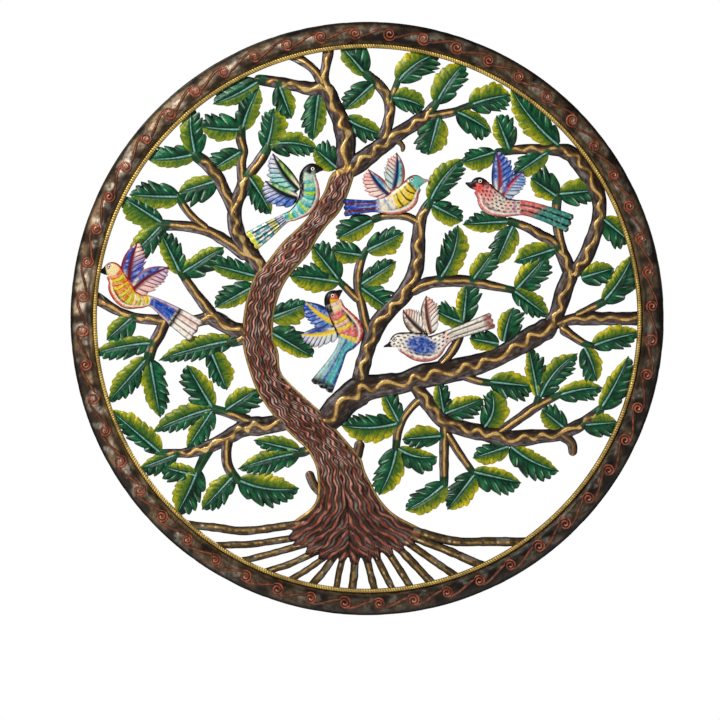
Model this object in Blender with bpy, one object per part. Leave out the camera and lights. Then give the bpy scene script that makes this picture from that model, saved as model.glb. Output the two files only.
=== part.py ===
"""A round painted steel wall panel: a tree of life inside a ring.

Built up from cut sheet steel in three layers.  Seen from the side, with the wall at y = 0 and the
front towards -Y:
  boughs with their leaves   a flat sheet, the hindmost layer
  trunk, birds, ring lip     domed sheets tacked onto the front of the boughs
  rope bead                  a half-round strip on the ring's inner lip
The ring's dome is hollow behind, and two D-rings for hanging swing in straps inside it.

All layout is in millimetres from the ring's centre, x to the right and z up.  The finished objects
are in metres, with the origin in the middle of the panel.
"""

import math

import bpy
from mathutils import Vector
from mathutils.geometry import delaunay_2d_cdt

# ---------------------------------------------------------------- driving dimensions (mm)
SHEET = 1.2            # thickness of the drum steel
GAP = 0.3              # clearance between neighbouring pieces
RING_RADIUS = 432.0
FLANGE = 4.5           # flat outer edge of the ring, which lies on the wall
LIP_INNER = 393.5
LIP_OUTER = 401.0
DOME = 9.0             # rise of the ring's dome above its two edges
BEAD_WIDTH = 6.6
BEAD_HEIGHT = 4.0
BOUGH_BACK = -2.0      # the boughs stand this far off the wall
TRUNK_RISE = 9.0
BIRD_RISE = 5.0
TUCK = 400.0           # root ends run this far out, behind the ring's lip
RING_SIDES = 72
SEAM = 0.35            # gap left where two boughs meet edge to edge

FRONT_LAYER_BACK = BOUGH_BACK - SHEET - GAP
LIP_FRONT = FRONT_LAYER_BACK - SHEET
DEPTH = -(LIP_FRONT - TRUNK_RISE)

# hanger, one each side of the top
HANGER_ANGLE = math.radians(20)
HANGER_RADIUS = 411.5
STRAP_FRONT = -9.3    # just clear of the hollow of the dome, under its crest
PIN_Y = STRAP_FRONT + 3.1
WIRE = 0.9
EYE_BORE = WIRE + GAP
EYE_OUTER = 2.2
EYE_HALF = 3.5
RING_HALF = 6.0
STRAP_HEIGHT = 4.2

# ---------------------------------------------------------------- layout: trunk and roots
# left and right edge of the trunk, from its top down to the spread of the roots
TRUNK_LEFT = [(-50, 213), (-56, 203), (-65, 180), (-91, 142), (-123, 111), (-147, 81), (-162, 66),
              (-173, 39), (-179, 10), (-182, -20), (-179, -50), (-165, -95), (-152, -120),
              (-131, -148), (-110, -170), (-88, -191), (-75, -215), (-72, -240), (-74, -263),
              (-83, -277), (-98, -288), (-114, -296)]
TRUNK_RIGHT = [(-18, 226), (-19, 208), (-28, 180), (-40, 155), (-58, 135), (-72, 116), (-85, 94),
               (-107, 69), (-121, 49), (-131, 24), (-136, -2), (-136, -28), (-129, -50),
               (-126, -76), (-112, -94), (-80, -124), (-64, -138), (-42, -164), (-22, -187),
               (-9, -203), (-3, -222), (6, -240), (17, -260), (31, -277), (45, -288), (62, -297),
               (82, -303)]
ROOT_SPREAD = [(86, -314), (72, -326), (55, -336), (36, -345), (18, -351), (0, -356), (-18, -358),
               (-40, -355), (-60, -352), (-82, -346), (-102, -335), (-114, -320)]
TRUNK_SPINE = [(-35, 218, 15), (-49, 172, 17), (-81, 130, 16), (-108, 98, 20), (-142, 54, 23),
               (-158, 4, 23), (-159, -24, 23), (-154, -58, 24), (-145, -88, 22), (-130, -108, 24),
               (-110, -131, 27), (-90, -150, 27), (-70, -173, 26), (-47, -203, 30),
               (-37, -232, 36), (-30, -258, 45), (-24, -285, 66), (-20, -312, 92)]
# each root: where it leaves the trunk, a point half way, where it meets the ring, half-width
ROOTS = [((-106, -300), (-175, -309), (-262, -300), 6.5), ((-104, -319), (-165, -328), (-232, -331), 5.5),
         ((-96, -330), (-135, -341), (-190, -355), 5.5), ((-80, -342), (-112, -357), (-152, -370), 5.5),
         ((-64, -349), (-88, -366), (-113, -381), 5), ((-50, -349), (-64, -369), (-80, -387), 6),
         ((-36, -350), (-41, -370), (-45, -394), 5), ((-18, -352), (-19, -372), (-22, -395), 6.5),
         ((0, -351), (5, -372), (11, -395), 6), ((14, -348), (24, -368), (36, -392), 5.5),
         ((32, -342), (47, -365), (62, -389), 6), ((47, -335), (70, -359), (93, -384), 6.5),
         ((62, -328), (96, -352), (131, -376), 6), ((72, -320), (116, -337), (168, -360), 7),
         ((76, -311), (126, -324), (225, -325), 7)]

# ---------------------------------------------------------------- layout: boughs
# A branch is a list of (x, z, half-width).  A leaf is (base x, base z, tip x, tip z, lobed half's
# width, plain half's width, which side the lobed half is on when looking from base to tip, bend).
# Where two boughs would share space, the one listed first keeps it.
BOUGHS = {
    "bough_right_main": (
        [[(-66, -156, 17), (-50, -140, 20), (-30, -119, 21), (-6, -103, 21), (20, -98, 18),
          (50, -94, 16), (80, -84, 18), (110, -79, 18), (145, -71, 16), (180, -60, 14),
          (210, -45, 15), (240, -27, 16), (270, -10, 15)],
         [(135, -80, 8), (158, -90, 6), (181, -94, 5)]],
        [(199, -34, 213, 16, 21, 14, "R", 2), (192, -37, 149, -29, 15, 14, "R", 0),
         (179, -92, 242, -99, 22, 17, "R", 0)]),
    "bough_centre": (
        [[(-12, -98, 12), (-8, -76, 12), (-1, -50, 11), (6, -27, 13), (19, -3, 13), (36, 16, 12), (55, 37, 13),
          (66, 58, 12), (73, 82, 11), (74, 110, 11), (77, 140, 9), (84, 158, 8), (92, 171, 6)],
         [(76, 138, 7), (62, 147, 6), (42, 150, 6), (24, 149, 6), (9, 144, 6)]],
        [(9, 144, -44, 116, 19, 16, "R", 0), (92, 171, 139, 232, 22, 16, "R", 5),
         (95, 165, 139, 142, 15, 16, "L", 0)]),
    "bough_right_high": (
        [[(262, -16, 12), (273, 0, 12), (281, 22, 12), (288, 45, 13), (297, 66, 12)],
         [(296, 62, 10), (287, 88, 10), (274, 108, 9), (252, 122, 8), (230, 134, 7), (206, 142, 6)],
         [(285, 96, 8), (279, 122, 7), (275, 150, 7), (277, 178, 7)],
         [(300, 66, 10), (316, 86, 11), (327, 112, 11), (336, 140, 11), (338, 168, 11),
          (331, 192, 13), (315, 220, 14), (296, 240, 12), (272, 246, 9), (250, 246, 8),
          (222, 246, 7), (188, 241, 6)]],
        [(205, 141, 139, 137, 15, 14, "R", 0), (212, 134, 187, 79, 18, 17, "R", 0),
         (276, 102, 214, 82, 12, 18, "L", 0), (278, 176, 238, 204, 25, 15, "R", 0),
         (280, 181, 331, 186, 19, 18, "R", 0), (186, 242, 138, 227, 14, 18, "R", 0),
         (207, 246, 188, 295, 20, 13, "R", 0), (262, 242, 214, 209, 17, 15, "R", 0),
         (278, 252, 209, 337, 22, 19, "R", 6), (343, 145, 382, 113, 20, 16, "R", 0),
         (311, 59, 359, 73, 18, 16, "R", 0)]),
    "bough_right_arm": (
        [[(270, -8, 8), (286, -4, 8), (310, 0, 10), (345, 0, 10), (375, 0, 10), (399, 0, 10)],
         [(305, 5, 5), (322, 13, 6), (345, 25, 6)],
         [(286, -16, 8), (300, -26, 7), (316, -36, 6), (330, -40, 5)],
         [(284, -14, 6), (288, -4, 6)]],
        [(343, 24, 387, 94, 24, 14, "R", -4), (328, -40, 397, -21, 17, 17, "R", 2),
         (316, -42, 334, -91, 19, 14, "R", 2)]),
    "bough_right_low": (
        [[(68, -92, 10), (76, -106, 10), (92, -127, 12), (112, -149, 12), (140, -160, 12), (175, -168, 12),
          (210, -175, 13), (245, -172, 11), (275, -169, 10), (300, -160, 10), (320, -148, 8),
          (341, -131, 6)],
         [(86, -116, 6), (72, -122, 6), (55, -142, 6), (45, -165, 6), (42, -190, 6)],
         [(113, -158, 7), (112, -190, 7), (112, -218, 7), (112, -244, 6)],
         [(118, -170, 6), (134, -196, 6), (157, -228, 5)],
         [(188, -168, 8), (215, -150, 7), (243, -130, 8), (262, -120, 6), (280, -111, 5)],
         [(284, -170, 9), (297, -181, 7.5), (299, -196, 6)], [(246, -128, 6), (250, -112, 5)]],
        [(46, -150, 24, -108, 15, 12, "R", 0), (43, -153, -38, -155, 21, 20, "R", 5),
         (107, -171, 51, -176, 15, 17, "L", 0), (45, -189, 102, -201, 20, 12, "R", -6),
         (43, -188, 17, -257, 22, 17, "R", 4), (114, -240, 56, -279, 18, 19, "R", 3),
         (157, -226, 117, -278, 18, 19, "R", 0), (154, -223, 224, -239, 23, 13, "R", 0),
         (206, -186, 154, -203, 14, 17, "R", 0), (209, -186, 279, -222, 22, 14, "R", -5),
         (112, -142, 104, -92, 14, 12, "R", 0), (109, -140, 169, -117, 20, 15, "R", 0),
         (169, -160, 180, -104, 19, 20, "L", -9), (252, -114, 306, -51, 20, 15, "R", 7),
         (249, -114, 235, -42, 18, 11, "R", 0), (278, -112, 343, -101, 18, 12, "R", 3),
         (340, -131, 380, -55, 24, 13, "R", -2), (314, -155, 364, -151, 18, 15, "R", 0),
         (289, -161, 254, -133, 17, 16, "R", 0)]),
    "bough_right_mid": (
        [[(64, 40, 8), (80, 48, 9), (95, 53, 9), (125, 55, 9), (155, 53, 8), (185, 47, 7), (214, 41, 5)]],
        [(106, 58, 132, 136, 21, 19, "L", -7), (154, 56, 183, 96, 18, 15, "R", 0),
         (217, 42, 260, 90, 23, 15, "R", 0), (212, 42, 264, 3, 15, 16, "R", 0)]),
    "bough_inner": (
        [[(5, -26, 8), (-1, -12, 8), (-6, 10, 7), (-12, 38, 7), (-13, 65, 7), (-8, 86, 6), (0, 102, 4)],
         [(-14, 28, 6), (-28, 42, 6), (-43, 57, 5)]],
        [(0, 99, 53, 125, 17, 19, "L", 0), (-8, 92, -50, 98, 18, 15, "R", 0),
         (-41, 56, -80, 106, 22, 14, "R", 0), (-41, 53, -113, 62, 19, 19, "R", -1),
         (-8, 50, 42, 83, 15, 17, "L", 0), (-8, 44, 33, 14, 21, 13, "L", 0)]),
    "bough_stem_low": (
        [[(108, -66, 7), (120, -52, 7), (131, -34, 7), (140, -6, 6)]],
        [(140, -6, 146, 52, 20, 14, "R", 0), (140, -6, 99, 13, 18, 12, "R", 2)]),
    "bough_crown_right": (
        [[(-28, 212, 9), (-12, 226, 14), (10, 243, 13), (30, 258, 12), (52, 273, 11),
          (75, 287, 11), (92, 299, 9)],
         [(86, 296, 8), (95, 307, 7), (103, 317, 5)],
         [(86, 294, 8), (108, 297, 7), (130, 302, 6), (152, 311, 5)],
         [(24, 264, 11), (31, 288, 8), (33, 310, 8), (26, 329, 8), (11, 346, 8), (-4, 358, 6)],
         [(33, 312, 6), (39, 330, 5), (46, 349, 4.5)],
         [(36, 258, 4), (46, 257, 4.5), (52, 250, 4), (51, 244, 2.5)]],
        [(-2, 355, -38, 397, 26, 14, "R", 0), (9, 341, -32, 304, 18, 12, "R", 0),
         (45, 345, 104, 387, 24, 20, "R", 5), (37, 321, 83, 307, 17, 17, "R", 3),
         (101, 313, 142, 371, 20, 19, "R", 3), (149, 310, 209, 325, 22, 21, "R", 2),
         (130, 301, 181, 271, 22, 11, "R", 2), (104, 292, 89, 238, 23, 19, "R", 0)]),
    "bough_crown_left": (
        [[(-36, 206, 10), (-32, 240, 14), (-31, 262, 15), (-37, 285, 14), (-48, 309, 13),
          (-61, 336, 13)],
         [(-61, 336, 10), (-63, 350, 8), (-60, 368, 7), (-57, 385, 8), (-56, 397, 8)],
         [(-66, 344, 9), (-76, 360, 7), (-90, 372, 7), (-108, 382, 7), (-116, 384, 7)],
         [(-58, 334, 13), (-78, 334, 11), (-100, 338, 9), (-128, 343, 9), (-160, 348, 7)]],
        [(-158, 345, -224, 312, 22, 12, "R", 3), (-128, 340, -110, 291, 18, 13, "R", 0),
         (-70, 330, -79, 259, 19, 15, "R", 0), (-32, 291, 22, 268, 17, 15, "R", -2)]),
    "bough_left_high": (
        [[(-152, 68, 12), (-170, 95, 13), (-186, 118, 12), (-193, 145, 11), (-190, 170, 10),
          (-180, 192, 11), (-178, 205, 10)],
         [(-180, 200, 9), (-183, 222, 7), (-180, 243, 7), (-184, 262, 8), (-183, 278, 6)],
         [(-176, 205, 8), (-162, 222, 8), (-149, 241, 8), (-143, 254, 6)],
         [(-193, 155, 9), (-205, 181, 9), (-218, 206, 10), (-232, 224, 10), (-251, 238, 8)],
         [(-178, 92, 9), (-203, 111, 9), (-232, 127, 8), (-262, 134, 8), (-300, 136, 8)],
         [(-235, 132, 6), (-253, 147, 6), (-266, 163, 6), (-275, 178, 5)]],
        [(-182, 274, -157, 337, 17, 15, "L", 2), (-183, 275, -243, 280, 22, 16, "R", 2),
         (-249, 236, -257, 308, 20, 16, "R", 3), (-147, 246, -136, 306, 17, 21, "L", -2),
         (-143, 252, -72, 246, 20, 16, "R", 6), (-250, 239, -320, 232, 20, 13, "R", 3),
         (-273, 177, -346, 180, 20, 17, "R", 1), (-298, 139, -357, 177, 13, 24, "R", 0),
         (-296, 138, -347, 86, 19, 15, "L", 0), (-219, 200, -275, 183, 22, 14, "L", 0),
         (-184, 242, -226, 217, 18, 13, "R", 0), (-175, 210, -140, 152, 18, 13, "R", 2)]),
    "bough_left_mid": (
        [[(-172, -24, 14), (-196, -15, 12), (-215, -4, 12), (-232, 4, 11)],
         [(-222, 2, 9), (-242, 27, 8), (-257, 47, 7), (-271, 68, 6)],
         [(-228, 2, 10), (-252, -4, 9), (-280, -4, 8), (-305, -2, 8), (-335, 1, 7), (-365, 12, 7),
          (-388, 26, 9), (-398, 31, 10)],
         [(-294, -4, 9), (-302, -22, 9), (-313, -42, 8), (-319, -63, 8)],
         [(-180, -28, 10), (-200, -34, 8)]],
        [(-271, 65, -300, 125, 18, 14, "R", 0), (-269, 66, -209, 104, 20, 13, "R", 0),
         (-340, 3, -379, -31, 20, 14, "L", 0), (-314, -36, -398, -52, 17, 14, "L", -3),
         (-320, -58, -377, -122, 17, 16, "L", 0), (-316, -60, -301, -144, 19, 17, "L", 0),
         (-194, -32, -303, -61, 16, 16, "L", -3), (-228, -46, -204, -104, 15, 20, "R", 0)]),
    "bough_left_low": (
        [[(-116, -150, 12), (-150, -156, 14), (-175, -158, 13), (-200, -171, 11), (-220, -182, 10),
          (-245, -192, 9), (-270, -196, 7), (-305, -196, 6)],
         [(-172, -150, 9), (-198, -139, 7), (-226, -131, 6)],
         [(-203, -176, 8), (-205, -200, 8), (-200, -220, 8), (-186, -237, 6)],
         [(-229, -190, 7), (-238, -204, 7), (-247, -222, 6)]],
        [(-205, -133, -160, -103, 21, 15, "R", 0), (-225, -130, -262, -68, 23, 16, "L", 0),
         (-223, -131, -312, -165, 15, 16, "L", -3), (-225, -134, -262, -190, 16, 13, "L", 0),
         (-301, -195, -374, -133, 14, 19, "L", 0), (-277, -198, -332, -219, 16, 10, "L", 0),
         (-248, -229, -298, -216, 18, 12, "L", 0), (-246, -219, -277, -284, 21, 19, "L", 2),
         (-194, -229, -240, -278, 17, 16, "L", 0), (-187, -235, -99, -247, 22, 20, "R", -7)]),
    "leaf_pair_left": (
        [[(-152, 68, 5), (-160, 55, 5), (-162, 42, 5)]],
        [(-160, 61, -232, 80, 17, 12, "R", 0), (-164, 47, -221, 16, 19, 13, "R", 0)]),
    "leaf_pair_right": (
        [[(-144, 6, 5), (-146, -10, 5), (-145, -26, 5)]],
        [(-140, 1, -86, 22, 15, 20, "L", 0), (-142, -19, -79, -56, 23, 14, "L", 0)]),
    "leaf_pair_low": (
        [[(-80, -188, 6), (-92, -194, 7), (-106, -195, 7)]],
        [(-98, -195, -188, -219, 20, 13, "L", -2), (-98, -193, -165, -177, 13, 14, "L", 0)]),
    "leaf_crown": (
        [], [(-44, 219, -76, 247, 21, 16, "R", 0)]),
}

# ---------------------------------------------------------------- layout: birds
# each bird: body from beak tip to tail end, then its wings from shoulder to tip
BIRDS = {
    "bird_left_top": (
        [(-67, 217, 1), (-74, 219, 5), (-84, 213, 12), (-85, 199, 13), (-85, 184, 14),
         (-88, 171, 14), (-98, 159, 12), (-116, 148, 7), (-138, 134, 10), (-164, 114, 16)],
        [[(-99, 188, 4), (-111, 202, 9), (-123, 217, 8), (-136, 239, 1.5)],
         [(-100, 175, 5), (-115, 177, 11), (-130, 184, 10), (-147, 198, 1.5)]]),
    "bird_centre_top": (
        [(89, 200, 1), (79, 200, 4), (69, 198, 11), (62, 186, 15), (51, 173, 19), (35, 166, 16),
         (19, 165, 11), (4, 164, 9), (-28, 162, 12)],
        [[(39, 188, 4), (36, 205, 11), (36, 222, 9), (42, 240, 1.5)],
         [(36, 182, 5), (23, 188, 11), (12, 198, 9), (2, 215, 2)]]),
    "bird_right_top": (
        [(146, 198, 1), (154, 195, 5), (165, 194, 11), (173, 182, 14), (184, 170, 19),
         (199, 164, 16), (214, 163, 10), (230, 160, 8), (262, 151, 12), (293, 139, 13)],
        [[(190, 178, 5), (194, 200, 12), (194, 220, 9), (188, 243, 1.5)],
         [(193, 174, 5), (208, 182, 12), (218, 194, 10), (226, 211, 2)]]),
    "bird_left_low": (
        [(-384, 70, 1), (-380, 71, 4), (-370, 70, 12), (-364, 57, 14), (-358, 43, 17),
         (-349, 32, 16), (-334, 27, 10), (-312, 24, 7), (-283, 5, 14), (-250, -17, 16)],
        [[(-346, 48, 5), (-335, 70, 13), (-333, 90, 11), (-334, 112, 2)],
         [(-344, 40, 5), (-325, 50, 12), (-308, 58, 12), (-290, 73, 3)]]),
    "bird_centre_low": (
        [(-38, 37, 1.5), (-43, 35, 5), (-50, 26, 10), (-45, 11, 13), (-34, -5, 18), (-26, -20, 19),
         (-29, -34, 14), (-37, -46, 8), (-48, -68, 13), (-64, -97, 19)],
        [[(-46, -6, 5), (-58, 0, 11), (-72, 10, 9), (-88, 24, 1.5)],
         [(-42, -16, 5), (-60, -22, 9), (-78, -24, 8), (-95, -23, 2)]]),
    "bird_right_low": (
        [(27, -38, 1.2), (34, -36, 4), (44, -33, 11), (58, -36, 17), (76, -42, 21), (93, -42, 18),
         (108, -32, 11), (122, -23, 8), (150, -14, 10), (180, -4, 11)],
        [[(84, -22, 5), (74, -8, 10), (64, 3, 9), (52, 12, 2)],
         [(93, -24, 7), (94, -4, 11), (90, 14, 7), (86, 32, 1.5)]]),
}

# ---------------------------------------------------------------- shapes in the plane (mm)


def smooth(points, steps):
    """A curve through the points, each stretch cut into equal steps."""
    if len(points) < 3:
        return [tuple(p) for p in points]
    first = tuple(2 * a - b for a, b in zip(points[0], points[1]))
    last = tuple(2 * a - b for a, b in zip(points[-1], points[-2]))
    ctrl = [first] + list(points) + [last]
    out = []
    for i in range(1, len(ctrl) - 2):
        p0, p1, p2, p3 = ctrl[i - 1:i + 3]
        for k in range(steps):
            t = k / steps
            out.append(tuple(
                0.5 * (2 * b + (c - a) * t + (2 * a - 5 * b + 4 * c - d) * t * t
                       + (3 * b - a - 3 * c + d) * t ** 3)
                for a, b, c, d in zip(p0, p1, p2, p3)))
    out.append(tuple(points[-1]))
    return out


def ribbon(stations, steps=2, grow=0.0):
    """A strip that follows a curve of (x, z, half-width), enlarged by grow, as a row of quads."""
    line = smooth(stations, steps)
    left, right = [], []
    for i, (x, z, half) in enumerate(line):
        ahead = line[min(i + 1, len(line) - 1)]
        behind = line[max(i - 1, 0)]
        run = Vector((ahead[0] - behind[0], ahead[1] - behind[1])).normalized()
        side = Vector((-run.y, run.x)) * (max(half, 0.8) + grow)
        end = -grow if i == 0 else grow if i == len(line) - 1 else 0.0
        spot = Vector((x, z)) + run * end
        left.append(spot + side)
        right.append(spot - side)
    return [[left[i], right[i], right[i + 1], left[i + 1]] for i in range(len(line) - 1)]


def leaf(spec, grow=0.0):
    """A leaf's outline: one half in forward-pointing lobes, the other half smooth."""
    bx, bz, tx, tz, lobed, plain, hand, bend = spec
    base, tip = Vector((bx, bz)), Vector((tx, tz))
    length = (tip - base).length
    run = (tip - base) / length
    left = Vector((-run.y, run.x))
    lobe_side = 1.0 if hand == "L" else -1.0

    def spot(t, across):
        return base + run * (t * length) + left * (across + bend * 4 * t * (1 - t))

    def fullness(t):
        return math.sin(math.pi * t ** 0.68) ** 0.66

    lobes = 4
    lobe_points = [spot(-grow / length, lobe_side * (2.2 + grow))]
    for i in range(lobes):
        start = 0.10 + 0.20 * i
        peak = start + 0.165
        lobe_points.append(spot(start, lobe_side * (lobed * fullness(start) * 0.82 + grow)))
        lobe_points.append(spot(peak, lobe_side * (lobed * fullness(peak) * 1.08 + grow)))
    plain_points = [spot(-grow / length, -lobe_side * (2.2 + grow))]
    for t in (0.14, 0.34, 0.58, 0.80):
        plain_points.append(spot(t, -lobe_side * (plain * fullness(t) * 1.04 + grow)))
    end = spot(1 + grow / length, 0)
    return [lobe_points + [end] + plain_points[::-1]]


def circle(cx, cy, radius, sides, start=0.0, sweep=2 * math.pi):
    """Points round a circle, or along an arc when the sweep is less than a full turn."""
    full = abs(sweep) >= 2 * math.pi - 1e-6
    count = sides if full else sides + 1
    return [Vector((cx + radius * math.cos(start + sweep * i / sides),
                    cy + radius * math.sin(start + sweep * i / sides))) for i in range(count)]


def overlaps(a, b):
    """Whether the boxes round two outlines meet."""
    return all(min(p[k] for p in a) <= max(p[k] for p in b)
               and min(p[k] for p in b) <= max(p[k] for p in a) for k in (0, 1))


def turned_left(outline):
    """The outline, run counter-clockwise."""
    twice = sum(a.cross(b) for a, b in zip(outline, outline[1:] + outline[:1]))
    return outline if twice > 0 else outline[::-1]


def region(own, blocked=(), lines=()):
    """Triangles of the union of own, less blocked.  Only the largest connected patch is kept."""
    verts, edges, faces = [], [], []
    for outline in list(own) + list(blocked):
        start = len(verts)
        verts.extend(turned_left(outline))
        faces.append(list(range(start, len(verts))))
    for line in lines:
        start = len(verts)
        verts.extend(line)
        edges.extend((i, i + 1) for i in range(start, len(verts) - 1))
    spots, _, tris, _, _, sources = delaunay_2d_cdt(verts, edges, faces, 1, 0.02)
    mine = len(own)
    kept = [tuple(t) for t, src in zip(tris, sources)
            if any(s < mine for s in src) and all(s < mine for s in src)]
    return spots, largest_patch(kept, spots)


def area(tri, spots):
    a, b, c = (spots[i] for i in tri)
    return abs((b - a).cross(c - a)) / 2


def largest_patch(tris, spots):
    """The connected patch of triangles with the greatest area."""
    by_edge = {}
    for n, tri in enumerate(tris):
        for k in range(3):
            by_edge.setdefault(frozenset((tri[k], tri[(k + 1) % 3])), []).append(n)
    links = {n: set() for n in range(len(tris))}
    for owners in by_edge.values():
        for n in owners:
            links[n].update(owners)
    best, best_area, seen = [], 0.0, set()
    for n in range(len(tris)):
        if n in seen:
            continue
        patch, queue = [], [n]
        seen.add(n)
        while queue:
            m = queue.pop()
            patch.append(m)
            fresh = links[m] - seen
            seen |= fresh
            queue.extend(fresh)
        size = sum(area(tris[m], spots) for m in patch)
        if size > best_area:
            best, best_area = patch, size
    return [tris[m] for m in best]


# ---------------------------------------------------------------- objects


def material(name, colour, roughness, metallic):
    made = bpy.data.materials.new(name)
    made.use_nodes = True
    surface = made.node_tree.nodes["Principled BSDF"]
    surface.inputs["Base Color"].default_value = (*colour, 1.0)
    surface.inputs["Roughness"].default_value = roughness
    surface.inputs["Metallic"].default_value = metallic
    made.diffuse_color = (*colour, 1.0)
    return made


def metres(x, y, z):
    """Millimetres from the ring's centre on the wall, to metres from the panel's middle."""
    return (x * 0.001, (y + DEPTH / 2) * 0.001, z * 0.001)


def add_object(name, verts, faces, finish, round_piece=False):
    mesh = bpy.data.meshes.new(name)
    mesh.from_pydata(verts, [], faces)
    mesh.validate()
    mesh.materials.append(finish)
    made = bpy.data.objects.new(name, mesh)
    bpy.context.collection.objects.link(made)
    if round_piece:
        mesh.shade_smooth()
        mesh.set_sharp_from_angle(angle=math.radians(35))
    return made


def thicken(spots, tris, near, far):
    """A closed shell: near and far turn a point of the plane into its two places in space."""
    used = sorted({i for tri in tris for i in tri})
    number = {old: new for new, old in enumerate(used)}
    count = len(used)
    verts = [near(*spots[i]) for i in used] + [far(*spots[i]) for i in used]
    faces, sides = [], {}
    for a, b, c in tris:
        if (spots[b] - spots[a]).cross(spots[c] - spots[a]) < 0:
            b, c = c, b
        a, b, c = number[a], number[b], number[c]
        faces.append((a, b, c))
        faces.append((c + count, b + count, a + count))
        for edge in ((a, b), (b, c), (c, a)):
            sides[edge] = True
    for a, b in sides:
        if (b, a) not in sides:
            faces.append((b, a, a + count, b + count))
    return verts, faces


def sheet(name, patch, back, finish, rise=lambda x, z: 0.0):
    """A piece of sheet steel cut to a patch, its back at y = back, pushed forward by rise."""
    verts, faces = thicken(
        *patch,
        near=lambda x, z: metres(x, back - SHEET - rise(x, z), z),
        far=lambda x, z: metres(x, back - rise(x, z), z))
    return add_object(name, verts, faces, finish)


def domed(line, height):
    """A rise that is greatest on the line and nothing at its half-width."""
    def rise(x, z):
        best = 0.0
        for (x0, z0, w0), (x1, z1, w1) in zip(line, line[1:]):
            run = Vector((x1 - x0, z1 - z0))
            t = max(0.0, min(1.0, (Vector((x - x0, z - z0)).dot(run)) / run.length_squared))
            away = (Vector((x, z)) - Vector((x0, z0)) - run * t).length
            half = w0 + (w1 - w0) * t
            best = max(best, 1.0 - (away / half) ** 2)
        return height * best
    return rise


def turned(name, profile, sides, finish):
    """A ring: a closed profile of (radius, y) carried round the panel's centre."""
    profile = turned_left([Vector(p) for p in profile])
    count = len(profile)
    verts = [metres(r * math.sin(2 * math.pi * i / sides), y, r * math.cos(2 * math.pi * i / sides))
             for i in range(sides) for r, y in profile]
    faces = []
    for i in range(sides):
        for k in range(count):
            a, b = i * count + k, i * count + (k + 1) % count
            c, d = ((i + 1) % sides) * count + (k + 1) % count, ((i + 1) % sides) * count + k
            faces.append((d, c, b, a))
    return add_object(name, verts, faces, finish, round_piece=True)


def build_ring(finish):
    dome_run = RING_RADIUS - FLANGE - LIP_OUTER
    steps = 6

    def arch(y_inner, y_outer):
        return [(LIP_OUTER + dome_run * k / steps,
                 y_inner + (y_outer - y_inner) * k / steps - DOME * math.sin(math.pi * k / steps))
                for k in range(steps + 1)]

    front = [(LIP_INNER, LIP_FRONT)] + arch(LIP_FRONT, -SHEET) + [(RING_RADIUS, -SHEET)]
    back = [(LIP_INNER, FRONT_LAYER_BACK)] + arch(FRONT_LAYER_BACK, 0.0) + [(RING_RADIUS, 0.0)]
    return turned("ring_band", front + back[::-1], RING_SIDES, finish)


def build_bead(finish):
    seat = LIP_FRONT - GAP
    middle = LIP_INNER + BEAD_WIDTH / 2
    arc = [(middle - BEAD_WIDTH / 2 * math.cos(a), seat - 0.8 - (BEAD_HEIGHT - 0.8) * math.sin(a))
           for a in (math.pi * k / 4 for k in range(5))]
    foot = [(middle + BEAD_WIDTH / 2, seat), (middle - BEAD_WIDTH / 2, seat)]
    return turned("rope_bead", arc + foot, RING_SIDES, finish)


def meeting_point(spot, run, radius):
    """Where a line from the spot, going along run, meets the circle of that radius."""
    along = spot.dot(run)
    return spot + run * (math.sqrt(along * along - spot.length_squared + radius * radius) - along)


def root_strip(start, middle, end, half):
    """A root strip: from half way it runs straight on, to where it is tucked behind the lip."""
    start, middle, end = Vector(start), Vector(middle), Vector(end)
    first, run = (middle - start).normalized(), (end - middle).normalized()
    side = Vector((-first.y, first.x)) * half
    rungs = [(start + side, start - side)]
    side = Vector((-run.y, run.x)) * half
    rungs.append((middle + side, middle - side))
    for radius in (LIP_INNER - 10, LIP_INNER - 4, TUCK):
        rungs.append((meeting_point(middle + side, run, radius),
                      meeting_point(middle - side, run, radius)))
    return [[a[0], a[1], b[1], b[0]] for a, b in zip(rungs, rungs[1:])]


def build_trunk(finish):
    trunk = [Vector(p) for p in TRUNK_LEFT] + [Vector(p) for p in reversed(ROOT_SPREAD)]
    trunk += [Vector(p) for p in reversed(TRUNK_RIGHT)]
    stubs = ribbon([(-68, -256, 7), (-78, -243, 7), (-83, -227, 6)])
    stubs += ribbon([(-17, -208, 8), (-14, -195, 8), (-11, -183, 8)])
    roots = [quad for root in ROOTS for quad in root_strip(*root)]
    spine = smooth(TRUNK_SPINE, 2)
    crest = [Vector(p[:2]) for p in spine]
    shoulder = domed(spine, TRUNK_RISE)
    fade_from, fade_to = -290.0, -350.0

    def rise(x, z):
        fade = max(0.0, min(1.0, (z - fade_to) / (fade_from - fade_to)))
        tuck = max(0.0, min(1.0, (math.hypot(x, z) - (LIP_INNER - 10)) / 6.0))
        inside = shoulder(x, z) if z > -342 else 0.0
        return inside * fade - (SHEET + GAP) * tuck

    patch = region([trunk] + stubs + roots, lines=[crest])
    return sheet("trunk_and_roots", patch, FRONT_LAYER_BACK, finish, rise)


def bough_shapes(branches, leaves, grow):
    shapes = [quad for branch in branches for quad in ribbon(branch, grow=grow)]
    return shapes + [outline for spec in leaves for outline in leaf(spec, grow)]


def build_boughs(finish):
    placed = []
    for name, (branches, leaves) in BOUGHS.items():
        own = bough_shapes(branches, leaves, 0.0)
        near = [taken for taken in placed if any(overlaps(taken, shape) for shape in own)]
        sheet(name, region(own, near), BOUGH_BACK, finish[name])
        placed += bough_shapes(branches, leaves, SEAM)


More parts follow.
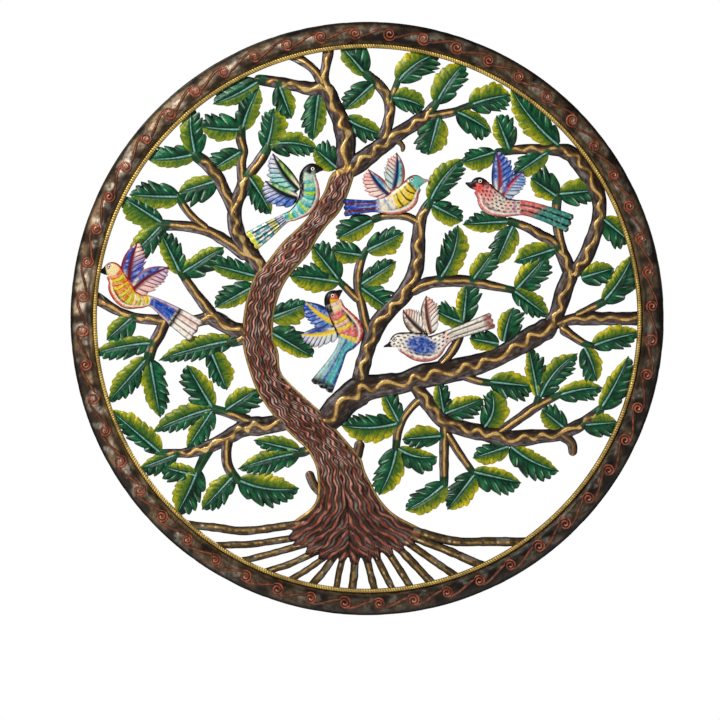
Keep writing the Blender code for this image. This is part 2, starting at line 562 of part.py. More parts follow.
def build_birds(finish):
    for name, (body, wings) in BIRDS.items():
        spine = smooth(body, 2)
        own = [quad for strip in [body] + wings for quad in ribbon(strip)]
        crest = [Vector(p[:2]) for p in spine[1:-1]]
        patch = region(own, lines=[crest])
        tail_start = len(spine) - 5
        rise = domed(spine[:tail_start], BIRD_RISE)
        sheet(name, patch, FRONT_LAYER_BACK, finish[name], rise)


def build_hanger(side, strap_finish, wire_finish):
    """A strap tacked inside the ring's dome, and the D-ring that swings in its eye."""
    word = "left" if side < 0 else "right"
    pin_x = side * HANGER_RADIUS * math.sin(HANGER_ANGLE)
    pin_z = HANGER_RADIUS * math.cos(HANGER_ANGLE)
    front = STRAP_FRONT - PIN_Y
    back = front + SHEET
    eye = circle(0, 0, EYE_OUTER, 12)
    tab = [Vector((front, -0.6)), Vector((back, -0.6)),
           Vector((back, STRAP_HEIGHT)), Vector((front, STRAP_HEIGHT))]
    bore = circle(0, 0, EYE_BORE, 12)
    spots, tris = region([eye, tab], [bore])

    def at(x):
        return lambda y, z: metres(pin_x + x, PIN_Y + y, pin_z + z)

    verts, faces = thicken(spots, tris, at(EYE_HALF), at(-EYE_HALF))
    add_object("hanger_strap_" + word, verts, faces, strap_finish)

    pivot = bpy.data.objects.new("hanger_pin_" + word, None)
    pivot.location = metres(pin_x, PIN_Y, pin_z)
    bpy.context.collection.objects.link(pivot)
    loop = wire_loop("hanger_ring_" + word, wire_finish)
    loop.parent = pivot


def wire_loop(name, finish):
    """A D of round wire: its straight side on the pin axis, its bow upward."""
    corner = 1.4
    path = [Vector((-RING_HALF + corner, 0)), Vector((RING_HALF - corner, 0))]
    path += circle(RING_HALF - corner, corner, corner, 3, -math.pi / 2, math.pi / 2)[1:]
    path += circle(0, corner + 0.2, RING_HALF, 12, 0, math.pi)[1:-1]
    path += circle(-RING_HALF + corner, corner, corner, 3, math.pi, math.pi / 2)[:-1]
    sides = 8
    verts, faces = [], []
    for i, spot in enumerate(path):
        run = (path[(i + 1) % len(path)] - path[i - 1]).normalized()
        out = Vector((run.y, -run.x))
        for k in range(sides):
            turn = 2 * math.pi * k / sides
            flat = spot + out * (WIRE * math.cos(turn))
            verts.append((flat.x * 0.001, WIRE * math.sin(turn) * 0.001, flat.y * 0.001))
    for i in range(len(path)):
        for k in range(sides):
            a, b = i * sides + k, i * sides + (k + 1) % sides
            nxt = (i + 1) % len(path) * sides
            faces.append((a, b, nxt + (k + 1) % sides, nxt + k))
    return add_object(name, verts, faces, finish, round_piece=True)


def main():
    for old in list(bpy.data.objects):
        bpy.data.objects.remove(old, do_unlink=True)

    dark_steel = material("dark_bronze_band", (0.05, 0.042, 0.036), 0.45, 0.6)
    gold = material("gold_bead", (0.52, 0.33, 0.08), 0.4, 0.5)
    bark = material("copper_bark", (0.16, 0.06, 0.04), 0.5, 0.4)
    zinc = material("plain_zinc_wire", (0.45, 0.45, 0.46), 0.35, 0.9)
    greens = [(0.02, 0.13, 0.06), (0.05, 0.18, 0.05), (0.16, 0.24, 0.03), (0.03, 0.16, 0.10)]
    leaf_finish = {name: material(name + "_paint", greens[i % len(greens)], 0.45, 0.2)
                   for i, name in enumerate(BOUGHS)}
    plumage = [(0.10, 0.45, 0.35), (0.70, 0.50, 0.08), (0.55, 0.12, 0.10), (0.75, 0.38, 0.08),
               (0.60, 0.18, 0.10), (0.10, 0.25, 0.60)]
    bird_finish = {name: material(name + "_paint", plumage[i], 0.4, 0.15)
                   for i, name in enumerate(BIRDS)}

    build_ring(dark_steel)
    build_bead(gold)
    build_trunk(bark)
    build_boughs(leaf_finish)
    build_birds(bird_finish)
    for side in (-1, 1):
        build_hanger(side, zinc, zinc)


main()
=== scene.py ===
"""The looks of a round painted steel wall panel: a tree of life inside a ring.

Every visible sheet is a closed shell of thin steel, built as a grid of points and pushed into
relief from behind, as a metalworker chases it.  Its paint is worked out point by point from where
the point lies on the leaf, bough, trunk or bird, and the materials add brush marks, hammer marks
and wear.  Layout is in millimetres from the ring's centre, x to the right and z up, with the wall
at y = 0 and the front towards -Y.
"""

import math

import bpy
import numpy as np
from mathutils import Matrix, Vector


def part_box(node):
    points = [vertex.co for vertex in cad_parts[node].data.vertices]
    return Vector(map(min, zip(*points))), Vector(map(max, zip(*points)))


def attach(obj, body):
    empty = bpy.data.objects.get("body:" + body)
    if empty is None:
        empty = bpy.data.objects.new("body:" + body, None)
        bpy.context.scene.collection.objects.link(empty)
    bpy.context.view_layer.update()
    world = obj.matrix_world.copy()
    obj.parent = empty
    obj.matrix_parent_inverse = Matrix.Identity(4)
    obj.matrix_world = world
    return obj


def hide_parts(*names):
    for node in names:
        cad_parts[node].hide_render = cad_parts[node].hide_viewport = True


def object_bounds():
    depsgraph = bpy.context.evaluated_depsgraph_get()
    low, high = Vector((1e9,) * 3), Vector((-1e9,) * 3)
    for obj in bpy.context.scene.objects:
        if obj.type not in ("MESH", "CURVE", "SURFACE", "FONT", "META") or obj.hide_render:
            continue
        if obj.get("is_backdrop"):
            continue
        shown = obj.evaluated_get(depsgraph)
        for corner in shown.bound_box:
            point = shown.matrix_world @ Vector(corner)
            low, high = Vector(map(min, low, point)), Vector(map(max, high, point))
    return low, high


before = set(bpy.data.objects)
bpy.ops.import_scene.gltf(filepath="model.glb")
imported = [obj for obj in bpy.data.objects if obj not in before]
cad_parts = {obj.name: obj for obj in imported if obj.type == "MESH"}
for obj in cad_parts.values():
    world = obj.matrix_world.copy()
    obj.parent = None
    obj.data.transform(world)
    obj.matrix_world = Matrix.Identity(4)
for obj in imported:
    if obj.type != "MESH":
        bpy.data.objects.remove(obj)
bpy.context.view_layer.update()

# ---------------------------------------------------------------- the frame in millimetres
RING_LOW, RING_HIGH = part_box("ring_band")
RIM = 432.0            # outer edge of the ring
LIP = 393.5            # inner edge of the ring
MM = (RING_HIGH.x - RING_LOW.x) / (2 * RIM)
CENTRE = ((RING_LOW.x + RING_HIGH.x) / 2, RING_HIGH.y, (RING_LOW.z + RING_HIGH.z) / 2)
STEEL = 1.2            # sheet thickness
BOUGH_LEVEL = 3.0      # front of each kind of sheet at its edges, from the wall
TRUNK_LEVEL = 4.2
BIRD_LEVEL = 8.6
TAU = 2 * math.pi

# The trunk's two sides from the top down, the edge where its roots leave it, the roots (start,
# middle, end and half-width), and the boughs with their leaves.  A bough is a list of branches,
# each a run of points with half-widths, and a list of leaves: base, tip, the widths of the lobed
# and the plain half, the side that the lobed half is on, and how far the midrib bends.
TRUNK_LEFT = [(-50, 213), (-56, 203), (-65, 180), (-91, 142), (-123, 111), (-147, 81), (-162, 66),
              (-173, 39), (-179, 10), (-182, -20), (-179, -50), (-165, -95), (-152, -120),
              (-131, -148), (-110, -170), (-88, -191), (-75, -215), (-72, -240), (-74, -263),
              (-83, -277), (-98, -288), (-114, -296)]
TRUNK_RIGHT = [(-18, 226), (-19, 208), (-28, 180), (-40, 155), (-58, 135), (-72, 116), (-85, 94),
               (-107, 69), (-121, 49), (-131, 24), (-136, -2), (-136, -28), (-129, -50),
               (-126, -76), (-112, -94), (-80, -124), (-64, -138), (-42, -164), (-22, -187),
               (-9, -203), (-3, -222), (6, -240), (17, -260), (31, -277), (45, -288), (62, -297),
               (82, -303)]
ROOT_SPREAD = [(86, -314), (72, -326), (55, -336), (36, -345), (18, -351), (0, -356), (-18, -358),
               (-40, -355), (-60, -352), (-82, -346), (-102, -335), (-114, -320)]
ROOTS = [((-106, -300), (-175, -309), (-262, -300), 6.5), ((-104, -319), (-165, -328), (-232, -331), 5.5),
         ((-96, -330), (-135, -341), (-190, -355), 5.5), ((-80, -342), (-112, -357), (-152, -370), 5.5),
         ((-64, -349), (-88, -366), (-113, -381), 5), ((-50, -349), (-64, -369), (-80, -387), 6),
         ((-36, -350), (-41, -370), (-45, -394), 5), ((-18, -352), (-19, -372), (-22, -395), 6.5),
         ((0, -351), (5, -372), (11, -395), 6), ((14, -348), (24, -368), (36, -392), 5.5),
         ((32, -342), (47, -365), (62, -389), 6), ((47, -335), (70, -359), (93, -384), 6.5),
         ((62, -328), (96, -352), (131, -376), 6), ((72, -320), (116, -337), (168, -360), 7),
         ((76, -311), (126, -324), (225, -325), 7)]
BOUGHS = {
    "bough_right_main": (
        [[(-66, -156, 17), (-50, -140, 20), (-30, -119, 21), (-6, -103, 21), (20, -98, 18),
          (50, -94, 16), (80, -84, 18), (110, -79, 18), (145, -71, 16), (180, -60, 14),
          (210, -45, 15), (240, -27, 16), (270, -10, 15)],
         [(135, -80, 8), (158, -90, 6), (181, -94, 5)]],
        [(199, -34, 213, 16, 21, 14, "R", 2), (192, -37, 149, -29, 15, 14, "R", 0),
         (179, -92, 242, -99, 22, 17, "R", 0)]),
    "bough_centre": (
        [[(-12, -98, 12), (-8, -76, 12), (-1, -50, 11), (6, -27, 13), (19, -3, 13), (36, 16, 12),
          (55, 37, 13), (66, 58, 12), (73, 82, 11), (74, 110, 11), (77, 140, 9), (84, 158, 8),
          (92, 171, 6)],
         [(76, 138, 7), (62, 147, 6), (42, 150, 6), (24, 149, 6), (9, 144, 6)]],
        [(9, 144, -44, 116, 19, 16, "R", 0), (92, 171, 139, 232, 22, 16, "R", 5),
         (95, 165, 139, 142, 15, 16, "L", 0)]),
    "bough_right_high": (
        [[(262, -16, 12), (273, 0, 12), (281, 22, 12), (288, 45, 13), (297, 66, 12)],
         [(296, 62, 10), (287, 88, 10), (274, 108, 9), (252, 122, 8), (230, 134, 7), (206, 142, 6)],
         [(285, 96, 8), (279, 122, 7), (275, 150, 7), (277, 178, 7)],
         [(300, 66, 10), (316, 86, 11), (327, 112, 11), (336, 140, 11), (338, 168, 11),
          (331, 192, 13), (315, 220, 14), (296, 240, 12), (272, 246, 9), (250, 246, 8),
          (222, 246, 7), (188, 241, 6)]],
        [(205, 141, 139, 137, 15, 14, "R", 0), (212, 134, 187, 79, 18, 17, "R", 0),
         (276, 102, 214, 82, 12, 18, "L", 0), (278, 176, 238, 204, 25, 15, "R", 0),
         (280, 181, 331, 186, 19, 18, "R", 0), (186, 242, 138, 227, 14, 18, "R", 0),
         (207, 246, 188, 295, 20, 13, "R", 0), (262, 242, 214, 209, 17, 15, "R", 0),
         (278, 252, 209, 337, 22, 19, "R", 6), (343, 145, 382, 113, 20, 16, "R", 0),
         (311, 59, 359, 73, 18, 16, "R", 0)]),
    "bough_right_arm": (
        [[(270, -8, 8), (286, -4, 8), (310, 0, 10), (345, 0, 10), (375, 0, 10), (399, 0, 10)],
         [(305, 5, 5), (322, 13, 6), (345, 25, 6)],
         [(286, -16, 8), (300, -26, 7), (316, -36, 6), (330, -40, 5)],
         [(284, -14, 6), (288, -4, 6)]],
        [(343, 24, 387, 94, 24, 14, "R", -4), (328, -40, 397, -21, 17, 17, "R", 2),
         (316, -42, 334, -91, 19, 14, "R", 2)]),
    "bough_right_low": (
        [[(68, -92, 10), (76, -106, 10), (92, -127, 12), (112, -149, 12), (140, -160, 12), (175, -168, 12),
          (210, -175, 13), (245, -172, 11), (275, -169, 10), (300, -160, 10), (320, -148, 8),
          (341, -131, 6)],
         [(86, -116, 6), (72, -122, 6), (55, -142, 6), (45, -165, 6), (42, -190, 6)],
         [(113, -158, 7), (112, -190, 7), (112, -218, 7), (112, -244, 6)],
         [(118, -170, 6), (134, -196, 6), (157, -228, 5)],
         [(188, -168, 8), (215, -150, 7), (243, -130, 8), (262, -120, 6), (280, -111, 5)],
         [(284, -170, 9), (297, -181, 7.5), (299, -196, 6)], [(246, -128, 6), (250, -112, 5)]],
        [(46, -150, 24, -108, 15, 12, "R", 0), (43, -153, -38, -155, 21, 20, "R", 5),
         (107, -171, 51, -176, 15, 17, "L", 0), (45, -189, 102, -201, 20, 12, "R", -6),
         (43, -188, 17, -257, 22, 17, "R", 4), (114, -240, 56, -279, 18, 19, "R", 3),
         (157, -226, 117, -278, 18, 19, "R", 0), (154, -223, 224, -239, 23, 13, "R", 0),
         (206, -186, 154, -203, 14, 17, "R", 0), (209, -186, 279, -222, 22, 14, "R", -5),
         (112, -142, 104, -92, 14, 12, "R", 0), (109, -140, 169, -117, 20, 15, "R", 0),
         (169, -160, 180, -104, 19, 20, "L", -9), (252, -114, 306, -51, 20, 15, "R", 7),
         (249, -114, 235, -42, 18, 11, "R", 0), (278, -112, 343, -101, 18, 12, "R", 3),
         (340, -131, 380, -55, 24, 13, "R", -2), (314, -155, 364, -151, 18, 15, "R", 0),
         (289, -161, 254, -133, 17, 16, "R", 0)]),
    "bough_right_mid": (
        [[(64, 40, 8), (80, 48, 9), (95, 53, 9), (125, 55, 9), (155, 53, 8), (185, 47, 7), (214, 41, 5)]],
        [(106, 58, 132, 136, 21, 19, "L", -7), (154, 56, 183, 96, 18, 15, "R", 0),
         (217, 42, 260, 90, 23, 15, "R", 0), (212, 42, 264, 3, 15, 16, "R", 0)]),
    "bough_inner": (
        [[(5, -26, 8), (-1, -12, 8), (-6, 10, 7), (-12, 38, 7), (-13, 65, 7), (-8, 86, 6), (0, 102, 4)],
         [(-14, 28, 6), (-28, 42, 6), (-43, 57, 5)]],
        [(0, 99, 53, 125, 17, 19, "L", 0), (-8, 92, -50, 98, 18, 15, "R", 0),
         (-41, 56, -80, 106, 22, 14, "R", 0), (-41, 53, -113, 62, 19, 19, "R", -1),
         (-8, 50, 42, 83, 15, 17, "L", 0), (-8, 44, 33, 14, 21, 13, "L", 0)]),
    "bough_stem_low": (
        [[(108, -66, 7), (120, -52, 7), (131, -34, 7), (140, -6, 6)]],
        [(140, -6, 146, 52, 20, 14, "R", 0), (140, -6, 99, 13, 18, 12, "R", 2)]),
    "bough_crown_right": (
        [[(-28, 212, 9), (-12, 226, 14), (10, 243, 13), (30, 258, 12), (52, 273, 11),
          (75, 287, 11), (92, 299, 9)],
         [(86, 296, 8), (95, 307, 7), (103, 317, 5)],
         [(86, 294, 8), (108, 297, 7), (130, 302, 6), (152, 311, 5)],
         [(24, 264, 11), (31, 288, 8), (33, 310, 8), (26, 329, 8), (11, 346, 8), (-4, 358, 6)],
         [(33, 312, 6), (39, 330, 5), (46, 349, 4.5)],
         [(36, 258, 4), (46, 257, 4.5), (52, 250, 4), (51, 244, 2.5)]],
        [(-2, 355, -38, 397, 26, 14, "R", 0), (9, 341, -32, 304, 18, 12, "R", 0),
         (45, 345, 104, 387, 24, 20, "R", 5), (37, 321, 83, 307, 17, 17, "R", 3),
         (101, 313, 142, 371, 20, 19, "R", 3), (149, 310, 209, 325, 22, 21, "R", 2),
         (130, 301, 181, 271, 22, 11, "R", 2), (104, 292, 89, 238, 23, 19, "R", 0)]),
    "bough_crown_left": (
        [[(-36, 206, 10), (-32, 240, 14), (-31, 262, 15), (-37, 285, 14), (-48, 309, 13),
          (-61, 336, 13)],
         [(-61, 336, 10), (-63, 350, 8), (-60, 368, 7), (-57, 385, 8), (-56, 397, 8)],
         [(-66, 344, 9), (-76, 360, 7), (-90, 372, 7), (-108, 382, 7), (-116, 384, 7)],
         [(-58, 334, 13), (-78, 334, 11), (-100, 338, 9), (-128, 343, 9), (-160, 348, 7)]],
        [(-158, 345, -224, 312, 22, 12, "R", 3), (-128, 340, -110, 291, 18, 13, "R", 0),
         (-70, 330, -79, 259, 19, 15, "R", 0), (-32, 291, 22, 268, 17, 15, "R", -2)]),
    "bough_left_high": (
        [[(-152, 68, 12), (-170, 95, 13), (-186, 118, 12), (-193, 145, 11), (-190, 170, 10),
          (-180, 192, 11), (-178, 205, 10)],
         [(-180, 200, 9), (-183, 222, 7), (-180, 243, 7), (-184, 262, 8), (-183, 278, 6)],
         [(-176, 205, 8), (-162, 222, 8), (-149, 241, 8), (-143, 254, 6)],
         [(-193, 155, 9), (-205, 181, 9), (-218, 206, 10), (-232, 224, 10), (-251, 238, 8)],
         [(-178, 92, 9), (-203, 111, 9), (-232, 127, 8), (-262, 134, 8), (-300, 136, 8)],
         [(-235, 132, 6), (-253, 147, 6), (-266, 163, 6), (-275, 178, 5)]],
        [(-182, 274, -157, 337, 17, 15, "L", 2), (-183, 275, -243, 280, 22, 16, "R", 2),
         (-249, 236, -257, 308, 20, 16, "R", 3), (-147, 246, -136, 306, 17, 21, "L", -2),
         (-143, 252, -72, 246, 20, 16, "R", 6), (-250, 239, -320, 232, 20, 13, "R", 3),
         (-273, 177, -346, 180, 20, 17, "R", 1), (-298, 139, -357, 177, 13, 24, "R", 0),
         (-296, 138, -347, 86, 19, 15, "L", 0), (-219, 200, -275, 183, 22, 14, "L", 0),
         (-184, 242, -226, 217, 18, 13, "R", 0), (-175, 210, -140, 152, 18, 13, "R", 2)]),
    "bough_left_mid": (
        [[(-172, -24, 14), (-196, -15, 12), (-215, -4, 12), (-232, 4, 11)],
         [(-222, 2, 9), (-242, 27, 8), (-257, 47, 7), (-271, 68, 6)],
         [(-228, 2, 10), (-252, -4, 9), (-280, -4, 8), (-305, -2, 8), (-335, 1, 7), (-365, 12, 7),
          (-388, 26, 9), (-398, 31, 10)],
         [(-294, -4, 9), (-302, -22, 9), (-313, -42, 8), (-319, -63, 8)],
         [(-180, -28, 10), (-200, -34, 8)]],
        [(-271, 65, -300, 125, 18, 14, "R", 0), (-269, 66, -209, 104, 20, 13, "R", 0),
         (-340, 3, -379, -31, 20, 14, "L", 0), (-314, -36, -398, -52, 17, 14, "L", -3),
         (-320, -58, -377, -122, 17, 16, "L", 0), (-316, -60, -301, -144, 19, 17, "L", 0),
         (-194, -32, -303, -61, 16, 16, "L", -3), (-228, -46, -204, -104, 15, 20, "R", 0)]),
    "bough_left_low": (
        [[(-116, -150, 12), (-150, -156, 14), (-175, -158, 13), (-200, -171, 11), (-220, -182, 10),
          (-245, -192, 9), (-270, -196, 7), (-305, -196, 6)],
         [(-172, -150, 9), (-198, -139, 7), (-226, -131, 6)],
         [(-203, -176, 8), (-205, -200, 8), (-200, -220, 8), (-186, -237, 6)],
         [(-229, -190, 7), (-238, -204, 7), (-247, -222, 6)]],
        [(-205, -133, -160, -103, 21, 15, "R", 0), (-225, -130, -262, -68, 23, 16, "L", 0),
         (-223, -131, -312, -165, 15, 16, "L", -3), (-225, -134, -262, -190, 16, 13, "L", 0),
         (-301, -195, -374, -133, 14, 19, "L", 0), (-277, -198, -332, -219, 16, 10, "L", 0),
         (-248, -229, -298, -216, 18, 12, "L", 0), (-246, -219, -277, -284, 21, 19, "L", 2),
         (-194, -229, -240, -278, 17, 16, "L", 0), (-187, -235, -99, -247, 22, 20, "R", -7)]),
    "leaf_pair_left": (
        [[(-152, 68, 5), (-160, 55, 5), (-162, 42, 5)]],
        [(-160, 61, -232, 80, 17, 12, "R", 0), (-164, 47, -221, 16, 19, 13, "R", 0)]),
    "leaf_pair_right": (
        [[(-144, 6, 5), (-146, -10, 5), (-145, -26, 5)]],
        [(-140, 1, -86, 22, 15, 20, "L", 0), (-142, -19, -79, -56, 23, 14, "L", 0)]),
    "leaf_pair_low": (
        [[(-80, -188, 6), (-92, -194, 7), (-106, -195, 7)]],
        [(-98, -195, -188, -219, 20, 13, "L", -2), (-98, -193, -165, -177, 13, 14, "L", 0)]),
    "leaf_crown": (
        [], [(-44, 219, -76, 247, 21, 16, "R", 0)]),
}


# ---------------------------------------------------------------- colour and small helpers
def rgb(r, g, b):
    """A paint colour, from screen values 0 to 255 to linear light."""
    c = np.array([r, g, b]) / 255.0
    return np.where(c <= 0.04045, c / 12.92, ((c + 0.055) / 1.055) ** 2.4)


BLACK = rgb(16, 13, 12)
SOOT = rgb(30, 26, 26)
DARK_GREEN = rgb(4, 46, 30)
EMERALD = rgb(24, 110, 72)
LEAF_GREEN = rgb(84, 150, 84)
CHALK = rgb(196, 214, 204)
OLIVE = rgb(78, 110, 40)
LEAF_YELLOW = rgb(144, 156, 36)
YELLOW = rgb(214, 194, 26)
MINT = rgb(158, 214, 200)
BARK_DARK = rgb(36, 28, 25)
# Pale grey painted on the boughs as sheen and highlight.
BARK_SHEEN = rgb(166, 154, 156)
BARK_BROWN = rgb(112, 84, 56)
GOLD = rgb(228, 190, 116)
OLD_GOLD = rgb(184, 148, 84)
COPPER = rgb(168, 92, 70)
# Pale rose painted as glints: highlights on the bark ridges and in the scroll spirals.
ROSE_HIGHLIGHT = rgb(222, 172, 154)
STEEL_BACK = rgb(112, 104, 98)
RUST = rgb(112, 66, 40)
WHITE = rgb(234, 228, 216)
CREAM = rgb(226, 208, 158)
RED = rgb(184, 30, 32)
PINK = rgb(224, 128, 124)
CORAL = rgb(212, 78, 70)
ORANGE = rgb(226, 132, 44)
SUN = rgb(226, 196, 40)
LIME = rgb(168, 202, 52)
AQUA = rgb(76, 180, 178)
TEAL = rgb(40, 122, 108)
SKY = rgb(112, 156, 210)
BLUE = rgb(34, 84, 178)
NAVY = rgb(16, 34, 96)
LILAC = rgb(190, 188, 208)
PALE_MINT = rgb(166, 212, 200)
FAWN = rgb(206, 186, 168)
MAROON = rgb(104, 20, 28)


def mix(a, b, k):
    """Blend of two colours, or two fields of colour, by a field k."""
    k = np.clip(np.asarray(k, float), 0, 1)[..., None]
    return a * (1 - k) + b * k


def coats(colour, *layers):
    """The colour under layers of paint, each given as its colour and how far it covers."""
    for paint, cover in layers:
        colour = mix(colour, paint, cover)
    return colour


def step(low, high, x):
    """0 below low, 1 above high, smooth between."""
    t = np.clip((np.asarray(x, float) - low) / (high - low), 0, 1)
    return t * t * (3 - 2 * t)


def fade(low, high, x):
    """1 below low, 0 above high, smooth between."""
    return 1 - step(low, high, x)


def bump(x, centre, width):
    """1 at the centre, falling smoothly to 0 at one width away."""
    return fade(0, width, np.abs(np.asarray(x, float) - centre))


def arched(t, power, root):
    """Cross-section of a chased strip: 1 in the middle, 0 at t = -1 and 1."""
    return np.clip(1 - np.abs(t) ** power, 0, 1) ** root


def mottle(x, z, size, seed):
    """Smooth random field, 0 to 1, with features of the given size in mm."""
    cells = 61
    table = np.random.default_rng(seed).random((cells, cells))
    u, v = np.asarray(x) / size + 1000, np.asarray(z) / size + 1000
    i, j = np.floor(u).astype(int), np.floor(v).astype(int)
    a, b = u - i, v - j
    a, b = a * a * (3 - 2 * a), b * b * (3 - 2 * b)
    i0, i1, j0, j1 = i % cells, (i + 1) % cells, j % cells, (j + 1) % cells
    return ((table[i0, j0] * (1 - a) + table[i1, j0] * a) * (1 - b)
            + (table[i0, j1] * (1 - a) + table[i1, j1] * a) * b)


def curve(points, spacing):
    """Even stations along a smooth curve through the points: array of rows, and distance along."""
    p = np.array(points, float)
    ends = np.vstack([2 * p[0] - p[1], p, 2 * p[-1] - p[-2]])
    t = np.linspace(0, 1, 24, endpoint=False)[:, None]
    runs = []
    for a, b, c, d in zip(ends, ends[1:], ends[2:], ends[3:]):
        runs.append(0.5 * (2 * b + (c - a) * t + (2 * a - 5 * b + 4 * c - d) * t * t
                           + (3 * b - a - 3 * c + d) * t ** 3))
    fine = np.vstack(runs + [p[-1:]])
    gone = np.concatenate([[0], np.cumsum(np.hypot(*np.diff(fine[:, :2], axis=0).T))])
    count = max(3, int(round(gone[-1] / spacing)) + 1)
    along = np.linspace(0, gone[-1], count)
    return np.stack([np.interp(along, gone, fine[:, k]) for k in range(p.shape[1])], 1), along


def evenly(line, share):
    """The points of a line at the given shares of the way along it."""
    at = share * (len(line) - 1)
    return np.stack([np.interp(at, np.arange(len(line)), line[:, k]) for k in range(2)], 1)


def directions(line):
    """Unit tangent and left normal at every station of a plane curve."""
    run = np.gradient(line[:, :2], axis=0)
    run /= np.maximum(np.hypot(*run.T), 1e-9)[:, None]
    return run, np.stack([-run[:, 1], run[:, 0]], 1)


def ribbon(line, across):
    """Two fields of points: the line's stations, set off sideways by the distances across."""
    _, normal = directions(line)
    return (line[:, 0, None] + normal[:, 0, None] * across,
            line[:, 1, None] + normal[:, 1, None] * across)


# ---------------------------------------------------------------- pieces made of thin shells
class Piece:
    """One sheet-metal piece: a mesh gathered from grids, each a closed shell of thin steel."""

    def __init__(self, name):
        self.name = name
        self.spots, self.quads, self.paint, self.metal = [], [], [], []
        self.count = 0

    def shell(self, grid, colour, metal, thick=STEEL, closed=False):
        """grid is rows by columns by (x, y, z) of the front face; closed joins last row to first."""
        rows, cols = grid.shape[:2]
        front = grid.reshape(-1, 3)
        n = rows * cols
        index = np.arange(n).reshape(rows, cols)
        now, then = (index, np.roll(index, -1, axis=0)) if closed else (index[:-1], index[1:])
        quads = np.stack([now[:, :-1], now[:, 1:], then[:, 1:], then[:, :-1]], -1).reshape(-1, 4)
        x, z = front[:, 0], front[:, 2]
        a, b, c, d = quads.T
        flip = ((x[c] - x[a]) * (z[d] - z[b]) - (x[d] - x[b]) * (z[c] - z[a])).sum() < 0
        if flip:
            quads = quads[:, ::-1]
        if closed:
            first, last = index[:, 0], index[:, -1]
            sides = [(first, np.roll(first, -1)), (np.roll(last, -1), last)]
        else:
            loop = np.concatenate([index[0, :-1], index[:-1, -1], index[-1, :0:-1], index[:0:-1, 0]])
            sides = [(loop, np.roll(loop, -1))]
        walls = []
        for p, q in sides:
            p, q = (q, p) if flip != closed else (p, q)
            walls.append(np.stack([q, p, p + n, q + n], -1))
        shade = 0.7 + 0.5 * mottle(x, z, 5, 3)
        rust = step(0.6, 0.85, mottle(x, z, 16, 4)) * mottle(x, z, 3, 5)
        bare = mix(STEEL_BACK * shade[:, None], RUST, rust)
        self.spots += [front, front + np.array([0, thick, 0])]
        self.quads.append(np.vstack([quads, quads[:, ::-1] + n] + walls) + self.count)
        self.paint += [np.broadcast_to(colour, grid.shape).reshape(-1, 3), bare]
        self.metal += [np.broadcast_to(metal, (rows, cols)).reshape(-1), np.full(n, 0.45)]
        self.count += 2 * n

    def build(self, material, node):
        """Makes the mesh, to be shown in place of the CAD node."""
        place = np.vstack(self.spots) * MM + np.array(CENTRE)
        quads = np.vstack(self.quads)
        mesh = bpy.data.meshes.new(self.name)
        mesh.vertices.add(len(place))
        mesh.vertices.foreach_set("co", place.astype(np.float32).ravel())
        mesh.loops.add(quads.size)
        mesh.loops.foreach_set("vertex_index", quads.astype(np.int32).ravel())
        mesh.polygons.add(len(quads))
        mesh.polygons.foreach_set("loop_start", np.arange(0, quads.size, 4, dtype=np.int32))
        mesh.update(calc_edges=True)
        mesh.validate()
        colours = np.column_stack([np.vstack(self.paint), np.ones(len(place))])
        paint = mesh.color_attributes.new("paint", "FLOAT_COLOR", "POINT")
        paint.data.foreach_set("color", colours.astype(np.float32).ravel())
        metal = mesh.attributes.new("metal", "FLOAT", "POINT")
        metal.data.foreach_set("value", np.concatenate(self.metal).astype(np.float32))
        mesh.shade_smooth()
        mesh.set_sharp_from_angle(angle=math.radians(62))
        mesh.materials.append(material)
        made = bpy.data.objects.new(self.name, mesh)
        bpy.context.collection.objects.link(made)
        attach(made, "panel")
        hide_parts(node)


def face(x, height, z):
    """Points of a front face that stands at a height from the wall."""
    return np.stack(np.broadcast_arrays(x, -height, z), -1)


def spread(x, z, height, level):
    """Points of a sheet whose front stands level + height from the wall.  It settles flat where it
    runs under the ring's lip."""
    tuck, tucked_level = 5.5, 4.0
    r = np.hypot(x, z)
    free = fade(LIP - 12, LIP - 1, r)
    shrink = np.minimum(1, (LIP + tuck) / np.maximum(r, 1))
    stand = np.minimum(level, tucked_level) * (1 - free) + level * free + height * free
    return face(x * shrink, stand, z * shrink)


# ---------------------------------------------------------------- leaves and wings
def tooth(p):
    """Edge of one forward-pointing lobe: a slow rise to its tip, then a sharp fall."""
    peak = 0.68
    return np.where(p < peak, (p / peak) ** 0.55, ((1 - p) / (1 - peak)) ** 0.5)


